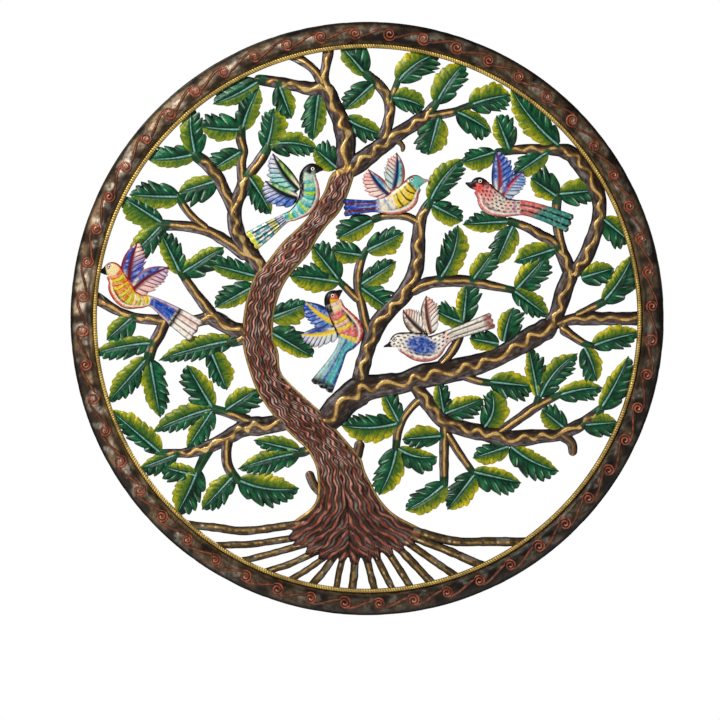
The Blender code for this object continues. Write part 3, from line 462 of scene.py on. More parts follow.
def frond(spec, lobes, plain_lobes, rib, rows, slant, depth):
    """Plan of a leaf or a wing: a midrib, a lobed half and a plain half, in rows that slant forward
    like veins.  Gives x and z, then the fields that the relief and the paint use: u, from 0 at the
    midrib to 1 at the edge; the tooth of the edge; the half, -1 for the lobed one and 1 for the
    plain one; the place within a lobe; s, from base to tip; mm out from the midrib; and fullness."""
    bx, bz, tx, tz, lobed, plain, hand, bend = spec
    base, tip = np.array([bx, bz], float), np.array([tx, tz], float)
    run = (tip - base) / np.hypot(*(tip - base))
    left = np.array([-run[1], run[0]])
    s = np.linspace(0, 1, rows)
    mid = base + np.outer(s, tip - base) + np.outer(bend * 4 * s * (1 - s), left)
    tangent, normal = directions(mid)
    rng = np.random.default_rng(int(abs(bx * 7 + bz * 13)))
    lobe_side = 1.0 if hand == "L" else -1.0
    rib_half = rib * (1 - 0.8 * s)
    outs = np.array([0, 0.05, 0.14, 0.28, 0.44, 0.6, 0.76, 0.9, 1.0])
    sides = []
    for width, count, peak, angle, cut, sign in (
            (lobed, lobes, 0.62, slant[0], depth[0], lobe_side),
            (plain, plain_lobes, 0.70, slant[1], depth[1], -lobe_side)):
        phase = np.clip((s - 0.03) / 0.92, 0, 1) * count
        place = phase - np.floor(phase)
        finger = tooth(place)
        uneven = rng.uniform(1.02, 1.22, count + 1)[np.floor(phase).astype(int)]
        full = np.sin(math.pi * np.clip(s, 0.004, 0.996) ** peak) ** (0.5 + 0.4 * s)
        lean = (np.radians(angle) * step(-0.12, 0.3, s))[:, None, None]
        reach = np.maximum(width * full * uneven * (1 - cut + cut * finger), rib_half + 0.4)
        out = rib_half[:, None] + (reach - rib_half)[:, None] * outs
        across = np.cos(lean) * (sign * normal)[:, None]
        ahead = np.sin(lean) * tangent[:, None]
        plan = mid[:, None] + out[..., None] * (across + ahead) / np.cos(lean)
        sides.append(np.stack(np.broadcast_arrays(
            plan[..., 0], plan[..., 1], outs, finger[:, None], place[:, None], out)))
    middle = np.stack([mid[:, 0], mid[:, 1], 0 * s, 0 * s + 1, 0 * s + 0.5, 0 * s])[..., None]
    x, z, u, finger, place, out = np.concatenate([sides[0][:, :, ::-1], middle, sides[1]], 2)
    half = np.broadcast_to(np.sign(np.arange(-len(outs), len(outs) + 1)), u.shape)
    full = np.sin(math.pi * np.clip(s, 0.01, 0.99) ** 0.8)[:, None] ** 0.6
    return x, z, u, finger, half, place, np.broadcast_to(s[:, None], u.shape), out, full


def add_leaf(piece, spec, seed):
    """A leaf: a lobed dark half and a scalloped yellow half on either side of a raised midrib."""
    rng = np.random.default_rng(seed)
    lobes = int(np.clip(round(math.dist(spec[:2], spec[2:4]) / 13.5), 4, 8))
    x, z, u, finger, half, place, s, out, full = frond(
        spec, lobes, lobes, 2.1, 11 * lobes + 9, slant=(42, 26), depth=(0.26, 0.15))
    centre = half == 0
    pillow = np.sin(math.pi * u ** 0.75)
    height = full * (1.6 + 2.0 * pillow - 1.3 * u ** 3)
    height += np.where(half < 0, 1.5, 0.7) * (finger - 0.6) * step(0.15, 0.6, u) * full
    height = np.where(centre, full * 1.6 + 2.2 * (1 - 0.7 * s), height)
    height = np.where((u > 0) & (u < 0.1), height - 0.4, height)
    height += rng.uniform(-0.6, 0.6) * half * u + 0.8
    patch, fine = mottle(x, z, 12, 12), mottle(x, z, 2.6, 14)
    stroke = mottle(out * 0.45, 90 * s, 3.0, 13 + seed % 9)
    chalk = bump(place, 0.86, 0.09) * step(0.25, 0.4, u) * (u < 0.95)
    lobed = coats(
        mix(DARK_GREEN, EMERALD, 1.1 * pillow * stroke + 0.8 * (patch - 0.4)),
        (LEAF_GREEN, 0.75 * bump(place, 0.6, 0.28) * step(0.25, 0.6, u) * stroke),
        (BLACK * 2, 0.55 * step(0.55, 0.85, fine) * step(0.1, 0.3, u)),
        (BLACK, 0.85 * fade(0.0, 0.14, place) * step(0.2, 0.45, u)),
        (CHALK, 0.85 * chalk * step(0.36, 0.56, mottle(x, z, 8, seed % 50 + 20))),
        (BLACK, 0.6 * step(0.9, 0.99, u) * (place < 0.7)),
        (BLACK * 1.5, 0.8 * bump(u, 0.05, 0.14)))
    warm = (0.2 + 0.3 * step(200, -200, z.mean()) + 0.3 * step(-200, 100, x.mean())
            + rng.uniform(-0.2, 0.2))
    plain = coats(
        mix(OLIVE, LEAF_YELLOW, 1.1 * u * (0.3 + 1.0 * patch) + 0.5 * (fine - 0.5)),
        (YELLOW, warm * step(0.3, 0.8, u) * (0.1 + 1.3 * patch)),
        (OLIVE * 0.5, 0.45 * fade(0.0, 0.22, place) * step(0.2, 0.5, u)),
        (rgb(34, 96, 44), 0.75 * step(0.42, 0.72, stroke) * fade(0.5, 0.95, u)),
        (OLIVE * 0.6, 0.5 * step(0.55, 0.9, fine) * step(0.2, 0.4, u)),
        (DARK_GREEN * 0.7, 0.9 * bump(u, 0.0, 0.22)))
    colour = np.where((half < 0)[..., None], lobed, plain)
    colour = mix(colour, mix(EMERALD, LEAF_YELLOW, patch), step(0.9, 1.0, s) * 0.6)
    shine = mix(MINT * (0.7 + 0.45 * fine[..., None]), EMERALD, step(0.7, 1.0, s))
    colour = np.where(centre[..., None], shine, colour)
    colour = mix(colour, rgb(20, 84, 70), ((u == 0) & ~centre) * 0.8)
    piece.shell(spread(x, z, height, BOUGH_LEVEL), colour, 0.06)


# ---------------------------------------------------------------- boughs
GREEN_STALK = (-229, -190)      # where the one wholly green stalk starts


def rounded(line, along):
    """Half-widths of a strip whose ends are rounded off."""
    half = np.maximum(line[:, 2], 1.5)
    cap = np.clip(1 - np.minimum(along, along[-1] - along) / half, 0, 0.98)
    return half * np.sqrt(1 - cap ** 2)


def extended(stations):
    """The stations, with the first and last moved outward so that joints close up."""
    longest = 6.0
    p = [np.array(q, float) for q in stations]
    for end, inner in ((0, 1), (-1, -2)):
        run = p[end][:2] - p[inner][:2]
        p[end][:2] += run / np.hypot(*run) * min(longest, 0.7 * p[end][2])
    return p


def gold_line(line, along, t, half, seed):
    """The raised line along a bough: it winds on a stout one, and swells on the left of the tree,
    where it carries painted pale highlights.  Gives the distance from its edge, its crest, its paint and
    the stoutness."""
    rng = np.random.default_rng(seed)
    s, w = along[:, None], half[:, None]
    stout = float(step(8.5, 11.5, line[:, 2].max()))
    wave = 23 + 0.75 * line[:, 2].mean() + 3 * rng.random()
    lead = rng.uniform(0, TAU)
    winding = TAU * s / wave + lead + 0.9 * np.sin(TAU * s / 83 + lead)
    bend = np.abs(np.sin(winding))
    swing = (0.25 * stout + 0.05) * np.sin(winding)
    swell = mottle(s, 0, 17, seed % 60)
    broad = 1.5 + 2.2 * step(60, -60, line[:, 0].mean())
    line_half = 1.1 + 0.025 * w + stout * broad * bend ** 3 * swell ** 1.3
    slope = np.gradient(swing[:, 0] * half, along)[:, None]
    off = np.abs(t - swing) * w / np.sqrt(1 + slope ** 2)
    crest = fade(line_half * 0.7, line_half + 0.8, off)
    old = 0.9 * step(0.35, 0.8, mottle(s, t * w, 6, 37)) * (0.3 + 0.7 * stout)
    # Painted highlight: where a stout line swells it is paled towards cream, more on the left of the tree.
    pale = 0.12 * broad * stout * step(0.4, 0.8, swell) * bend
    return off - line_half, crest, mix(mix(GOLD, OLD_GOLD * 0.6, old), CREAM, pale), stout


def add_branch(piece, stations, seed, leaf_bases, bare=False):
    """A half-round bough with a raised gold line along it; a bare one has hardly any gold."""
    line, along = curve(extended(stations), 1.35)
    _, normal = directions(line)
    half = rounded(line, along) * (1 + 0.12 * (mottle(along, 0, 10, seed % 90) - 0.5))
    t = np.linspace(-1, 1, 31)
    s, w = along[:, None], half[:, None]
    x, z = ribbon(line, t * w)
    beside, crest, gold, stout = gold_line(line, along, t, half, seed)
    height = (1.2 + 0.34 * w) * arched(t, 2.3, 0.55) + 0.9 * crest
    to_leaf = np.hypot(*(leaf_bases - line[-1, :2]).T).min() if len(leaf_bases) else 0.0
    bare = bare or along[-1] < 45 and to_leaf > 20

    # Painted light: the side of each bough that faces down and to the left is painted pale grey as if lit,
    # more so on the left of the tree; stout boughs also get painted grey sheen streaks.
    toward_light = normal @ np.array([-0.75, -0.65])
    slant = np.sign(toward_light) * np.minimum(1, 2.5 * np.abs(toward_light))
    painted_lit_side = step(-0.25, 0.75, t * slant[:, None])
    streak = mottle(s, t * w * 3.2, 6, 31 + seed % 7)
    patch = mottle(x, z, 10, 33)
    left_side_light = 0.65 + 0.35 * step(220, -260, x)
    # Painted shade: black on the side of each bough turned away from that light.
    colour = coats(
        mix(BARK_DARK, BARK_BROWN, 0.5 * bump(t, 0, 0.9) * (0.2 + streak)),
        (BARK_SHEEN, left_side_light * (painted_lit_side * (1 - 0.3 * stout) * (0.05 + 0.95 * streak)
                            + 0.2 * stout * step(0.6, 0.85, streak))),
        (BARK_BROWN, 0.8 * bump(beside, 1.2, 2.6) * (0.3 + 0.8 * patch)),
        (BLACK, 0.7 * fade(0.05, 0.2, streak) * (1 - painted_lit_side)),
        (gold, crest * (0.3 if bare else 0.95)),
        (BLACK, 0.9 * step(0.80, 0.95, np.abs(t))))
    if len(leaf_bases):
        away = np.min(np.hypot(x[..., None] - leaf_bases[:, 0], z[..., None] - leaf_bases[:, 1]), -1)
        stalk = 40.0 if tuple(stations[0][:2]) == GREEN_STALK else 0.0
        reach = 3.0 + 10.0 * step(28, 10, along[-1] - s) + stalk
        stub = fade(reach, reach + 5, away) * (w < 9.5)
        colour = mix(colour, mix(DARK_GREEN, EMERALD, 0.7 * patch), 0.92 * stub)
        crest = crest * (1 - stub)
    piece.shell(spread(x, z, height, BOUGH_LEVEL), colour, 0.15 + 0.45 * crest)


def build_boughs(paint):
    for n, (name, (branches, leaves)) in enumerate(BOUGHS.items()):
        piece = Piece(name + "_painted")
        bases = np.array([spec[:2] for spec in leaves], float)
        for k, stations in enumerate(branches):
            add_branch(piece, stations, 100 * n + 7 * k + 1, bases)
        for k, spec in enumerate(leaves):
            add_leaf(piece, spec, 1000 * n + k)
        piece.build(paint, name)


# ---------------------------------------------------------------- trunk and roots
TRUNK_CORNERS = ((-113, -299), (82, -307))      # where the lowest root leaves each side
TRUNK_HEART = (-18, -262)                       # the slits between the roots run towards here
# Two bare twigs that stand on the trunk's foot, each a run of points with half-widths.
STUBS = ([(-66, -254, 7), (-77, -243, 7), (-84, -226, 6.5)],
         [(-20, -212, 8), (-14, -196, 8), (-11, -183, 8.5)])


def distance_to(x, z, line):
    """Distance in mm from every point of a field to a polyline."""
    best = np.full(x.shape, 1e9)
    for (ax, az), (bx, bz) in zip(line, line[1:]):
        dx, dz = bx - ax, bz - az
        t = np.clip(((x - ax) * dx + (z - az) * dz) / (dx * dx + dz * dz), 0, 1)
        best = np.minimum(best, np.hypot(x - ax - t * dx, z - az - t * dz))
    return best


def bark(x, z, along, inward):
    """Relief and paint of the chased bark: wavy copper ridges beside grey-brown pillows."""
    sway = 1.7 * np.sin(TAU * along / 22.0 + inward * 0.11) + 3.6 * (mottle(x, z, 16, 41) - 0.5)
    sway = sway + 1.3 * (mottle(x, z, 5, 49) - 0.5)
    ridge = 0.5 + 0.5 * np.cos(TAU * (inward + sway) / (8.2 + 2.4 * step(-215, -290, z)))
    pillow = step(0.34, 0.06, ridge)
    upper = step(-300, -200, z)
    knife = mottle(along * 0.45, (inward + sway) * 1.6, 4.0, 42)
    speck = mottle(along * 0.7, (inward + sway) * 1.5, 2.4, 47)
    height = (2.1 * ridge ** 1.6 + 0.9 * pillow + 0.6 * (knife - 0.5)) * step(2.0, 6.0, inward)
    brown = mix(rgb(78, 56, 48), rgb(136, 112, 96), upper)
    # Painted highlights: a pale grey sheen on the pillows and rose glints on the ridge crests, both
    # stronger above the foot.
    painted_sheen = step(0.45, 0.75, knife) * step(0.2, 0.65, mottle(x, z, 17, 45)) * (0.35 + 0.65 * upper)
    copper = mix(COPPER * 0.55, COPPER, mottle(x, z, 8, 46) * 1.5 - 0.2)
    painted_glint = step(0.84, 0.98, ridge) * step(0.34, 0.62, mottle(x, z, 7, 43)) * (0.4 + 0.9 * knife)
    groove = bump(ridge, 0.44, 0.34 - 0.08 * upper)
    return height, coats(
        mix(rgb(30, 23, 21), rgb(92, 68, 56), knife * 1.3 - 0.1),
        (brown, pillow * (0.2 + 0.8 * speck)),
        (rgb(176, 164, 158), pillow * painted_sheen),
        (copper, step(0.62, 0.86, ridge) * (0.25 + 0.95 * speck)),
        (ROSE_HIGHLIGHT, painted_glint * (0.35 + 0.6 * upper)),
        (BLACK, groove * (0.9 - 0.15 * upper) * (0.5 + 0.5 * (knife < 0.6))))


def trunk_plan(left, right, share, t):
    """Rows from side to side of the trunk, drawn out at the foot to points between the roots."""
    a, b = evenly(left, share), evenly(right, share)
    x = a[:, 0, None] * (1 - t) + b[:, 0, None] * t
    z = a[:, 1, None] * (1 - t) + b[:, 1, None] * t
    foot, _ = curve([TRUNK_CORNERS[0]] + ROOT_SPREAD[-1:0:-1] + [TRUNK_CORNERS[1]], 1.0)
    end = evenly(foot, t)
    gap = np.min([distance_to(end[:, 0], end[:, 1], root[:2]) - root[3] for root in ROOTS], axis=0)
    notch = 0.10 * step(-1.5, 3.0, gap) * np.minimum(1, 12 * np.minimum(t, 1 - t))
    end += (np.array(TRUNK_HEART) - end) * notch[:, None]
    k = step(0.78, 1.0, share)[:, None]
    x, z = x + k * (end[:, 0] - x[-1]), z + k * (end[:, 1] - z[-1])
    along = np.cumsum(np.concatenate([[0], np.hypot(*np.diff((a + b) / 2, axis=0).T)]))
    return x, z, along[:, None], np.hypot(*(a - b).T)[:, None]


def add_trunk(piece):
    """The domed trunk: chased bark inside a raised gold edge."""
    left, _ = curve(TRUNK_LEFT[:-1] + [TRUNK_CORNERS[0]], 1.0)
    right, _ = curve(TRUNK_RIGHT[:-1] + [TRUNK_CORNERS[1]], 1.0)
    share, t = np.linspace(0, 1, 380), np.linspace(0, 1, 121)
    x, z, along, width = trunk_plan(left, right, share, t)
    share = share[:, None]
    from_left, from_right = distance_to(x, z, left[::4]), distance_to(x, z, right[::4])
    inward = np.minimum(from_left, from_right)
    dome = arched(2 * t - 1, 2.2, 0.6) * np.minimum(8.5, width * 0.2) * (1 - 0.75 * step(0.86, 1.0, share))
    height, colour = bark(x, z, along, inward)
    rim = np.maximum(bump(inward, 1.6, 2.4), fade(0.010, 0.020, share))
    colour = coats(
        colour,
        (BLACK, 0.65 * fade(0.6, 3.0, np.abs(from_left - from_right))),
        (mix(OLD_GOLD, GOLD, 0.5), rim * (0.6 + 0.7 * mottle(x, z, 4, 44))),
        (BLACK, 0.9 * fade(0.2, 1.2, inward)),
        (BLACK, 0.8 * step(0.985, 1.0, share)))
    piece.shell(spread(x, z, height + dome, TRUNK_LEVEL), colour, 0.25 + 0.3 * rim)


def meeting_point(spot, run, radius):
    """Where a line from the spot, going along run, meets the circle of that radius."""
    along = spot @ run
    return spot + run * (math.sqrt(along * along - spot @ spot + radius * radius) - along)


def add_root(piece, root, seed):
    """A strip that runs from under the trunk straight on to the ring, with a chased spine."""
    start, middle, end = (np.array(spot, float) for spot in root[:3])
    half = root[3]
    first, last = middle - start, end - middle
    first, last = first / np.hypot(*first), last / np.hypot(*last)
    tip = meeting_point(middle, last, LIP + 6)
    line, along = curve([(*spot, half) for spot in (start - 9 * first, middle, 0.5 * (middle + tip), tip)],
                        1.6)
    t = np.linspace(-1, 1, 15)
    w = line[:, 2, None] * (0.94 + 0.14 * (mottle(along, 0, 8, seed)[:, None] - 0.5))
    x, z = ribbon(line, t * w)
    s = along[:, None]
    dashes = step(0.25, 0.6, mottle(s, 0, 4.5, seed + 40))
    spine = fade(0.08, 0.36, np.abs(t + 0.15))
    height = 2.6 * arched(t, 2.2, 0.6) + 0.9 * spine * (0.4 + 0.6 * dashes)
    gold = mix(OLD_GOLD * 0.8, mix(GOLD, WHITE, 0.25), step(0.5, 0.9, mottle(x, z, 5, 53)))
    # Painted highlight: mottled pale grey on one side of each root.
    colour = coats(
        mix(rgb(40, 31, 24), rgb(112, 92, 58), 0.1 + 0.9 * mottle(s, t * w * 3, 4, 51)),
        (rgb(140, 134, 124), 0.6 * step(0.55, 0.75, mottle(x, z, 12, 52)) * (t > -0.1)),
        (gold, spine * (0.1 + 0.8 * dashes)),
        (BLACK, 0.9 * step(0.58, 0.88, np.abs(t))))
    piece.shell(spread(x, z, height, TRUNK_LEVEL - 0.6), colour, 0.3)


def build_trunk(paint):
    piece = Piece("trunk_and_roots_painted")
    for n, root in enumerate(ROOTS):
        add_root(piece, root, 60 + n)
    for n, stub in enumerate(STUBS):
        add_branch(piece, stub, 5 + n, np.zeros((0, 2)), bare=True)
    add_trunk(piece)
    piece.build(paint, "trunk_and_roots")


# ---------------------------------------------------------------- ring and rope bead
DOME_FROM, DOME_TO = 400.5, RIM - 2.5       # the domed part of the ring, between lip and outer edge


def ring_front(r, x, z):
    """How far the ring's front stands from the wall: its dome, and the hammer's dents."""
    k = np.clip((r - DOME_FROM) / (DOME_TO - DOME_FROM), 0, 1)
    dome = 5.4 * (1 - k) + 1.4 * k + 7.2 * np.sin(math.pi * k) ** 0.75
    return dome, 2.2 * (mottle(x, z, 11, 71) - 0.5) + 0.7 * (mottle(x, z, 4, 72) - 0.5)


def build_ring(paint):
    """The hammered ring with its flat, worn outer edge."""
    piece = Piece("ring_band_painted")
    a = np.linspace(0, TAU, 840, endpoint=False)[:, None]
    r = np.concatenate([[LIP - 0.5, 396, 398.5, 400.3], np.linspace(401.5, 429, 20),
                        [430.2, 431.2, RIM]])[None]
    worn = np.minimum(0.9 * (mottle(np.cos(a) * 400, np.sin(a) * 400, 9, 70) - 0.5), 0)
    rr = r + worn * step(428, RIM, r)
    x, z = rr * np.sin(a), rr * np.cos(a)
    inside = step(401, 405, r) * fade(427, 431, r)
    dome, dents = ring_front(r, x, z)
    height = np.where(r >= RIM - 1, STEEL, dome + dents * inside)
    fine = mottle(x, z, 3.4, 74)
    # Painted highlight: a mottled pale grey along the crest of the dome.
    crest = 0.5 + 0.5 * bump(r, 413, 12)
    # Painted light: lighter towards the upper left of the ring, darker towards the lower right.
    lit_from_upper_left = 0.5 + 0.5 * np.cos(a + 1.1)
    colour = coats(
        mix(rgb(48, 39, 30), rgb(122, 102, 78),
            step(0.25, 0.8, mottle(a * 412, r * 1.2, 17, 73)) * (0.3 + 0.8 * fine)),
        (rgb(172, 162, 146), crest * step(0.48, 0.8, mottle(x, z, 12, 75)) * fine * inside))
    # Painted light and shade: the paint is scaled by its angle round the ring, lighter towards the upper
    # left and at the sides, darker towards the lower right and at top and bottom.
    colour = coats(
        colour * ((0.55 + 1.15 * lit_from_upper_left) * (1 - 0.38 * np.cos(2 * a)))[..., None],
        (BLACK, 0.85 * step(425, 430.5, r)),
        (BLACK, 0.6 * bump(r, 406.0, 3.5)),
        (OLD_GOLD, 0.5 * fade(401.0, 402.4, r) * mottle(x, z, 6, 76)))
    piece.shell(face(x, height, z), colour, 0.32, closed=True)
    add_scrolls(piece)
    piece.build(paint, "ring_band")


def build_rope_bead(paint):
    """The ticked strip on the ring's lip."""
    piece = Piece("rope_bead_gold")
    ticks = 690
    a = np.linspace(0, TAU, ticks * 5, endpoint=False)[:, None]
    t = np.linspace(-1, 1, 9)[None]
    r = 396.6 + 3.3 * t
    x, z = r * np.sin(a), r * np.cos(a)
    cord = 0.5 + 0.5 * np.cos(ticks * a + 1.8 * t + 1.5 * mottle(a * 400, t * 4, 12, 78))
    height = 6.6 + (2.2 + 0.6 * cord) * arched(t, 2, 0.5)
    wear = mottle(x, z, 14, 77)
    colour = coats(
        mix(OLD_GOLD * 0.45, rgb(230, 200, 118), (0.55 + 0.45 * cord) * (0.2 + 0.95 * wear)),
        (rgb(60, 42, 24), (0.25 + 0.5 * wear) * fade(0.04, 0.4, cord)),
        (rgb(48, 36, 26), 0.95 * step(0.2, 0.7, t)))
    piece.shell(face(x, height, z), colour, 0.55, thick=1.6, closed=True)
    piece.build(paint, "rope_bead")


def add_scrolls(piece):
    """The running scroll round the ring: raised copper spirals joined by swung lines."""
    count, middle = 52, 414.5
    pitch = TAU * middle / count
    turn = np.linspace(0, 1, 46)
    angle = 0.8 * math.pi - 1.9 * TAU * turn
    radius = 9.2 - 7.6 * turn
    spiral = np.stack([radius * np.cos(angle), radius * np.sin(angle)], 1)
    k = np.linspace(0, 1, 26)
    u0, v0, u1, v1 = 2.0, -7.8, pitch - 6.8, 4.9
    link = np.stack([u0 + (u1 - u0) * k, v0 + (v1 - v0) * step(-0.1, 1.1, k) ** 1.2], 1)
    # Painted highlight: a rose glint on the inner turns of each spiral.
    shown = 0.8 * step(0.72, 0.95, turn)[:, None]
    t = np.linspace(-1, 1, 5)
    for n in range(count):
        size = np.random.default_rng(900 + n).uniform(0.9, 1.08)
        for path, broad, low, high, painted_glint in (
                (spiral * size, 1.6, rgb(84, 48, 34), rgb(190, 110, 82), shown),
                (link, 2.0, rgb(76, 50, 36), rgb(154, 94, 68), 0.0)):
            share = np.linspace(0, 1, len(path))
            taper = np.minimum(1, 0.45 + 6 * np.minimum(share, share[::-1]))
            u, v = ribbon(path, t * (broad * taper)[:, None])
            r = middle - v
            a = math.pi - (u + (n + 0.35) * pitch) / middle
            x, z = r * np.sin(a), r * np.cos(a)
            dome, dents = ring_front(r, x, z)
            # Painted highlight: each raised line is lighter along its middle than at its sides.
            colour = coats(
                mix(low, high, 0.1 + 1.0 * mottle(x, z, 5, 79) * (1 - t ** 2)),
                (BLACK, 0.6 * step(0.7, 1.0, np.abs(t))),
                (ROSE_HIGHLIGHT, painted_glint * (1 - t ** 2)))
            height = dome + dents + 0.15 + 1.15 * arched(t, 2, 0.6)
            piece.shell(face(x, height, z), colour, 0.3, thick=0.8)


# ---------------------------------------------------------------- birds
def stripes(phase, colours):
    """Cycle through the colours, one per unit of phase, with a soft change between them."""
    n = len(colours)
    whole = np.floor(phase).astype(int)
    table = np.array(colours)
    return mix(table[(whole - 1) % n], table[whole % n], step(0.0, 0.25, phase - whole))


def scales(s, t, colours, pitch, line, strength, curl=5.0, broad=0.14, reach=0.66):
    """Curved bands across a body, each ending in a line that stops short of the sides."""
    phase = (s + curl * t ** 2) / pitch
    ends = bump(phase - np.floor(phase), 0.9, broad) * fade(reach, reach + 0.12, np.abs(t))
    return mix(stripes(phase, colours), line, strength * ends)


def ticks(s, t, w, base, spot):
    """Short dark brush ticks in staggered rows."""
    wide, tall = 4.6, 7.6
    across = t * w / wide + 50
    row = np.floor(across)
    place = s / tall + 0.5 * (row % 2)
    off_row, off_place = np.abs(across - row - 0.5), np.abs(place - np.floor(place) - 0.5)
    return mix(base, spot, 0.95 * fade(0.20, 0.30, off_place) * fade(0.16, 0.30, off_row))


# The paint of each bird's body: s is mm along from the beak's tip, t is -1 to 1 across and w is the
# half-width in mm.  The paint of each tail: k is 0 where the tail starts and 1 at its end.
def body_left_top(s, t, w):
    return coats(
        scales(s, t, [AQUA, LIME, AQUA, PALE_MINT], 5.6, NAVY, 0.85),
        (mix(LIME, PALE_MINT, 0.4), bump(s, 41, 4)),
        (rgb(186, 200, 186), fade(31, 37, s)),
        (SOOT, fade(22, 26, s) * fade(0.1, 0.4, t)),
        (rgb(140, 130, 120), 0.8 * fade(20, 24, s) * step(0.1, 0.4, t)),
        (SOOT, step(0.46, 0.62, -t) * fade(62, 76, s)))


def body_centre_top(s, t, w):
    return coats(
        scales(s, t, [SUN], 10.0, BLACK, 1.0, curl=8.0, broad=0.24, reach=0.55),
        (WHITE, 0.8 * bump(np.abs(t), 0.72, 0.2)),
        (mix(CREAM, WHITE, 0.5), step(62, 67, s)),
        (SKY, 0.8 * bump(s + 6 * t, 76, 3.5)),
        (rgb(112, 184, 168), fade(27, 30, s - 3 * t)),
        (BLACK, 0.9 * bump(s - 3 * t, 31, 2.4) * (np.abs(t) < 0.85)))


def body_right_top(s, t, w):
    base = mix(mix(WHITE, FAWN, 0.4), PINK, 0.9 * fade(34, 62, s) + 0.4 * bump(s, 78, 16))
    return coats(
        ticks(s, t, w, base, rgb(56, 24, 26)),
        (CORAL, 0.75 * fade(26, 33, s)),
        (mix(PINK, BLUE, 0.45), 0.8 * bump(s, 86, 4)),
        (SOOT, fade(20, 34, s) * step(0.05, 0.3, t)),
        (SOOT, fade(14, 17, s) * (t > -0.5)))


def body_left_low(s, t, w):
    return coats(
        scales(s, t, [SUN, ORANGE, mix(SUN, LIME, 0.3), ORANGE], 5.6, rgb(96, 34, 20), 1.0),
        (scales(s, t, [CREAM, SUN], 5.4, SOOT, 0.8), step(72, 78, s)),
        (LIME, 0.6 * bump(s, 70, 7)),
        (CREAM, fade(28, 31, s + 5 * t ** 2)),
        (CORAL, 0.9 * bump(s + 6 * t ** 2, 29, 2.6)))


def body_centre_low(s, t, w):
    bands = [SUN, mix(PINK, CORAL, 0.4), PINK, SUN, mix(PINK, WHITE, 0.5)]
    return coats(
        scales(s, t, bands, 6.2, rgb(120, 56, 30), 0.9),
        (mix(WHITE, CREAM, 0.4), 0.6 * bump(s, 35, 9)),
        (SUN, 0.9 * step(80, 82, s)),
        (mix(CORAL, ORANGE, 0.3), 0.9 * fade(19, 23, s)),
        (SOOT, bump(t, 0.5, 0.26) * bump(s, 60, 24)),
        (SOOT, step(0.24, 0.4, -t) * fade(34, 46, s)))


def body_right_low(s, t, w):
    core = step(0.1, 0.8, 1.6 * bump(s, 58, 34) * bump(t, 0.12, 0.95))
    base = coats(WHITE, (mix(BLUE, SKY, 0.15), core), (PINK, 0.35 * step(88, 98, s)))
    return ticks(s, t, w, base, rgb(58, 20, 36))


def tail_plaid(k, t):
    odd = (np.floor(k * 8.5) + np.floor(t * 1.5 + 9)) % 2
    lines = [(NAVY * 0.4, np.minimum(1, 1.4 * bump(t, place, 0.16)) * (k < 0.9))
             for place in (-0.6, -0.2, 0.2, 0.6)]
    return coats(
        mix(AQUA, WHITE, odd),
        (mix(SUN, LIME, 0.3), bump(k, 0.34, 0.14)),
        (LILAC, fade(0.16, 0.22, k)),
        *lines,
        (NAVY * 0.6, 0.8 * (bump(k, 0.22, 0.03) + bump(k, 0.46, 0.03))),
        (mix(SUN, LIME, 0.4), step(0.88, 0.93, k)))


def tail_blue_red(k, t):
    return coats(
        stripes(t * 3.2 + 9, [mix(BLUE, NAVY, 0.4), MAROON, BLUE]),
        (LILAC, 0.9 * bump(t, 0.12, 0.13) * bump(k, 0.45, 0.4)),
        (LILAC, 0.9 * bump(t, -0.42, 0.1) * bump(k, 0.5, 0.35)),
        (mix(LILAC, WHITE, 0.5), 0.95 * fade(0.0, 0.22, k)),
        (NAVY, 0.8 * step(0.9, 1.0, k)))


def tail_red_teal(k, t):
    return coats(
        mix(mix(CORAL, PINK, 0.4), rgb(60, 142, 130), step(0.22, 0.5, k - 0.12 * t)),
        (TEAL, 0.7 * step(0.2, 0.9, -t) * step(0.4, 0.8, k)),
        (BLACK, np.minimum(1, 1.4 * bump(t, -0.38, 0.17))),
        (BLACK, np.minimum(1, 1.4 * bump(t, 0.36, 0.17))),
        (WHITE, 0.6 * bump(t, 0.06, 0.12) * bump(k, 0.2, 0.2)),
        (BLACK, 0.95 * step(0.93, 0.99, k)))


def tail_panels(k, t):
    pale = coats(
        mix(WHITE, PINK, 0.3 * bump(t, 0.4, 0.5)),
        *((MAROON, 0.95 * bump(t, place, 0.11)) for place in (-0.5, 0.0, 0.5)))
    blue = coats(
        mix(BLUE, SKY, 0.35 * bump(t, -0.2, 0.3)),
        (NAVY * 0.6, 0.9 * (bump(t, -0.22, 0.1) + bump(t, 0.22, 0.1))),
        (mix(LILAC, PINK, 0.25), step(0.56, 0.66, np.abs(t))),
        (MAROON, 0.8 * bump(np.abs(t), 0.66, 0.1)))
    return coats(
        pale,
        (blue, fade(0.49, 0.52, k)),
        (BLACK, bump(k, 0.56, 0.075)),
        (SOOT, 0.9 * step(0.95, 0.99, k)))


def tail_teal(k, t):
    return coats(
        mix(rgb(160, 196, 192), rgb(92, 176, 174), step(-0.3, 0.2, t)),
        (mix(BLUE, NAVY, 0.4), 0.97 * (bump(t, -0.14, 0.24) + bump(t, 0.84, 0.3))),
        (SOOT, step(0.80, 0.96, k)))


def tail_fawn(k, t):
    return coats(
        mix(WHITE, FAWN, 0.45 * bump(t, 0, 0.5)),
        (SOOT, 0.95 * bump(t, -0.42, 0.2) * (k < 0.9)),
        (SOOT, 0.95 * bump(t, 0.36, 0.2) * (k < 0.9)),
        (SOOT, 0.8 * step(0.72, 0.95, np.abs(t))),
        (rgb(132, 52, 42), 0.9 * step(0.76, 0.94, k)))


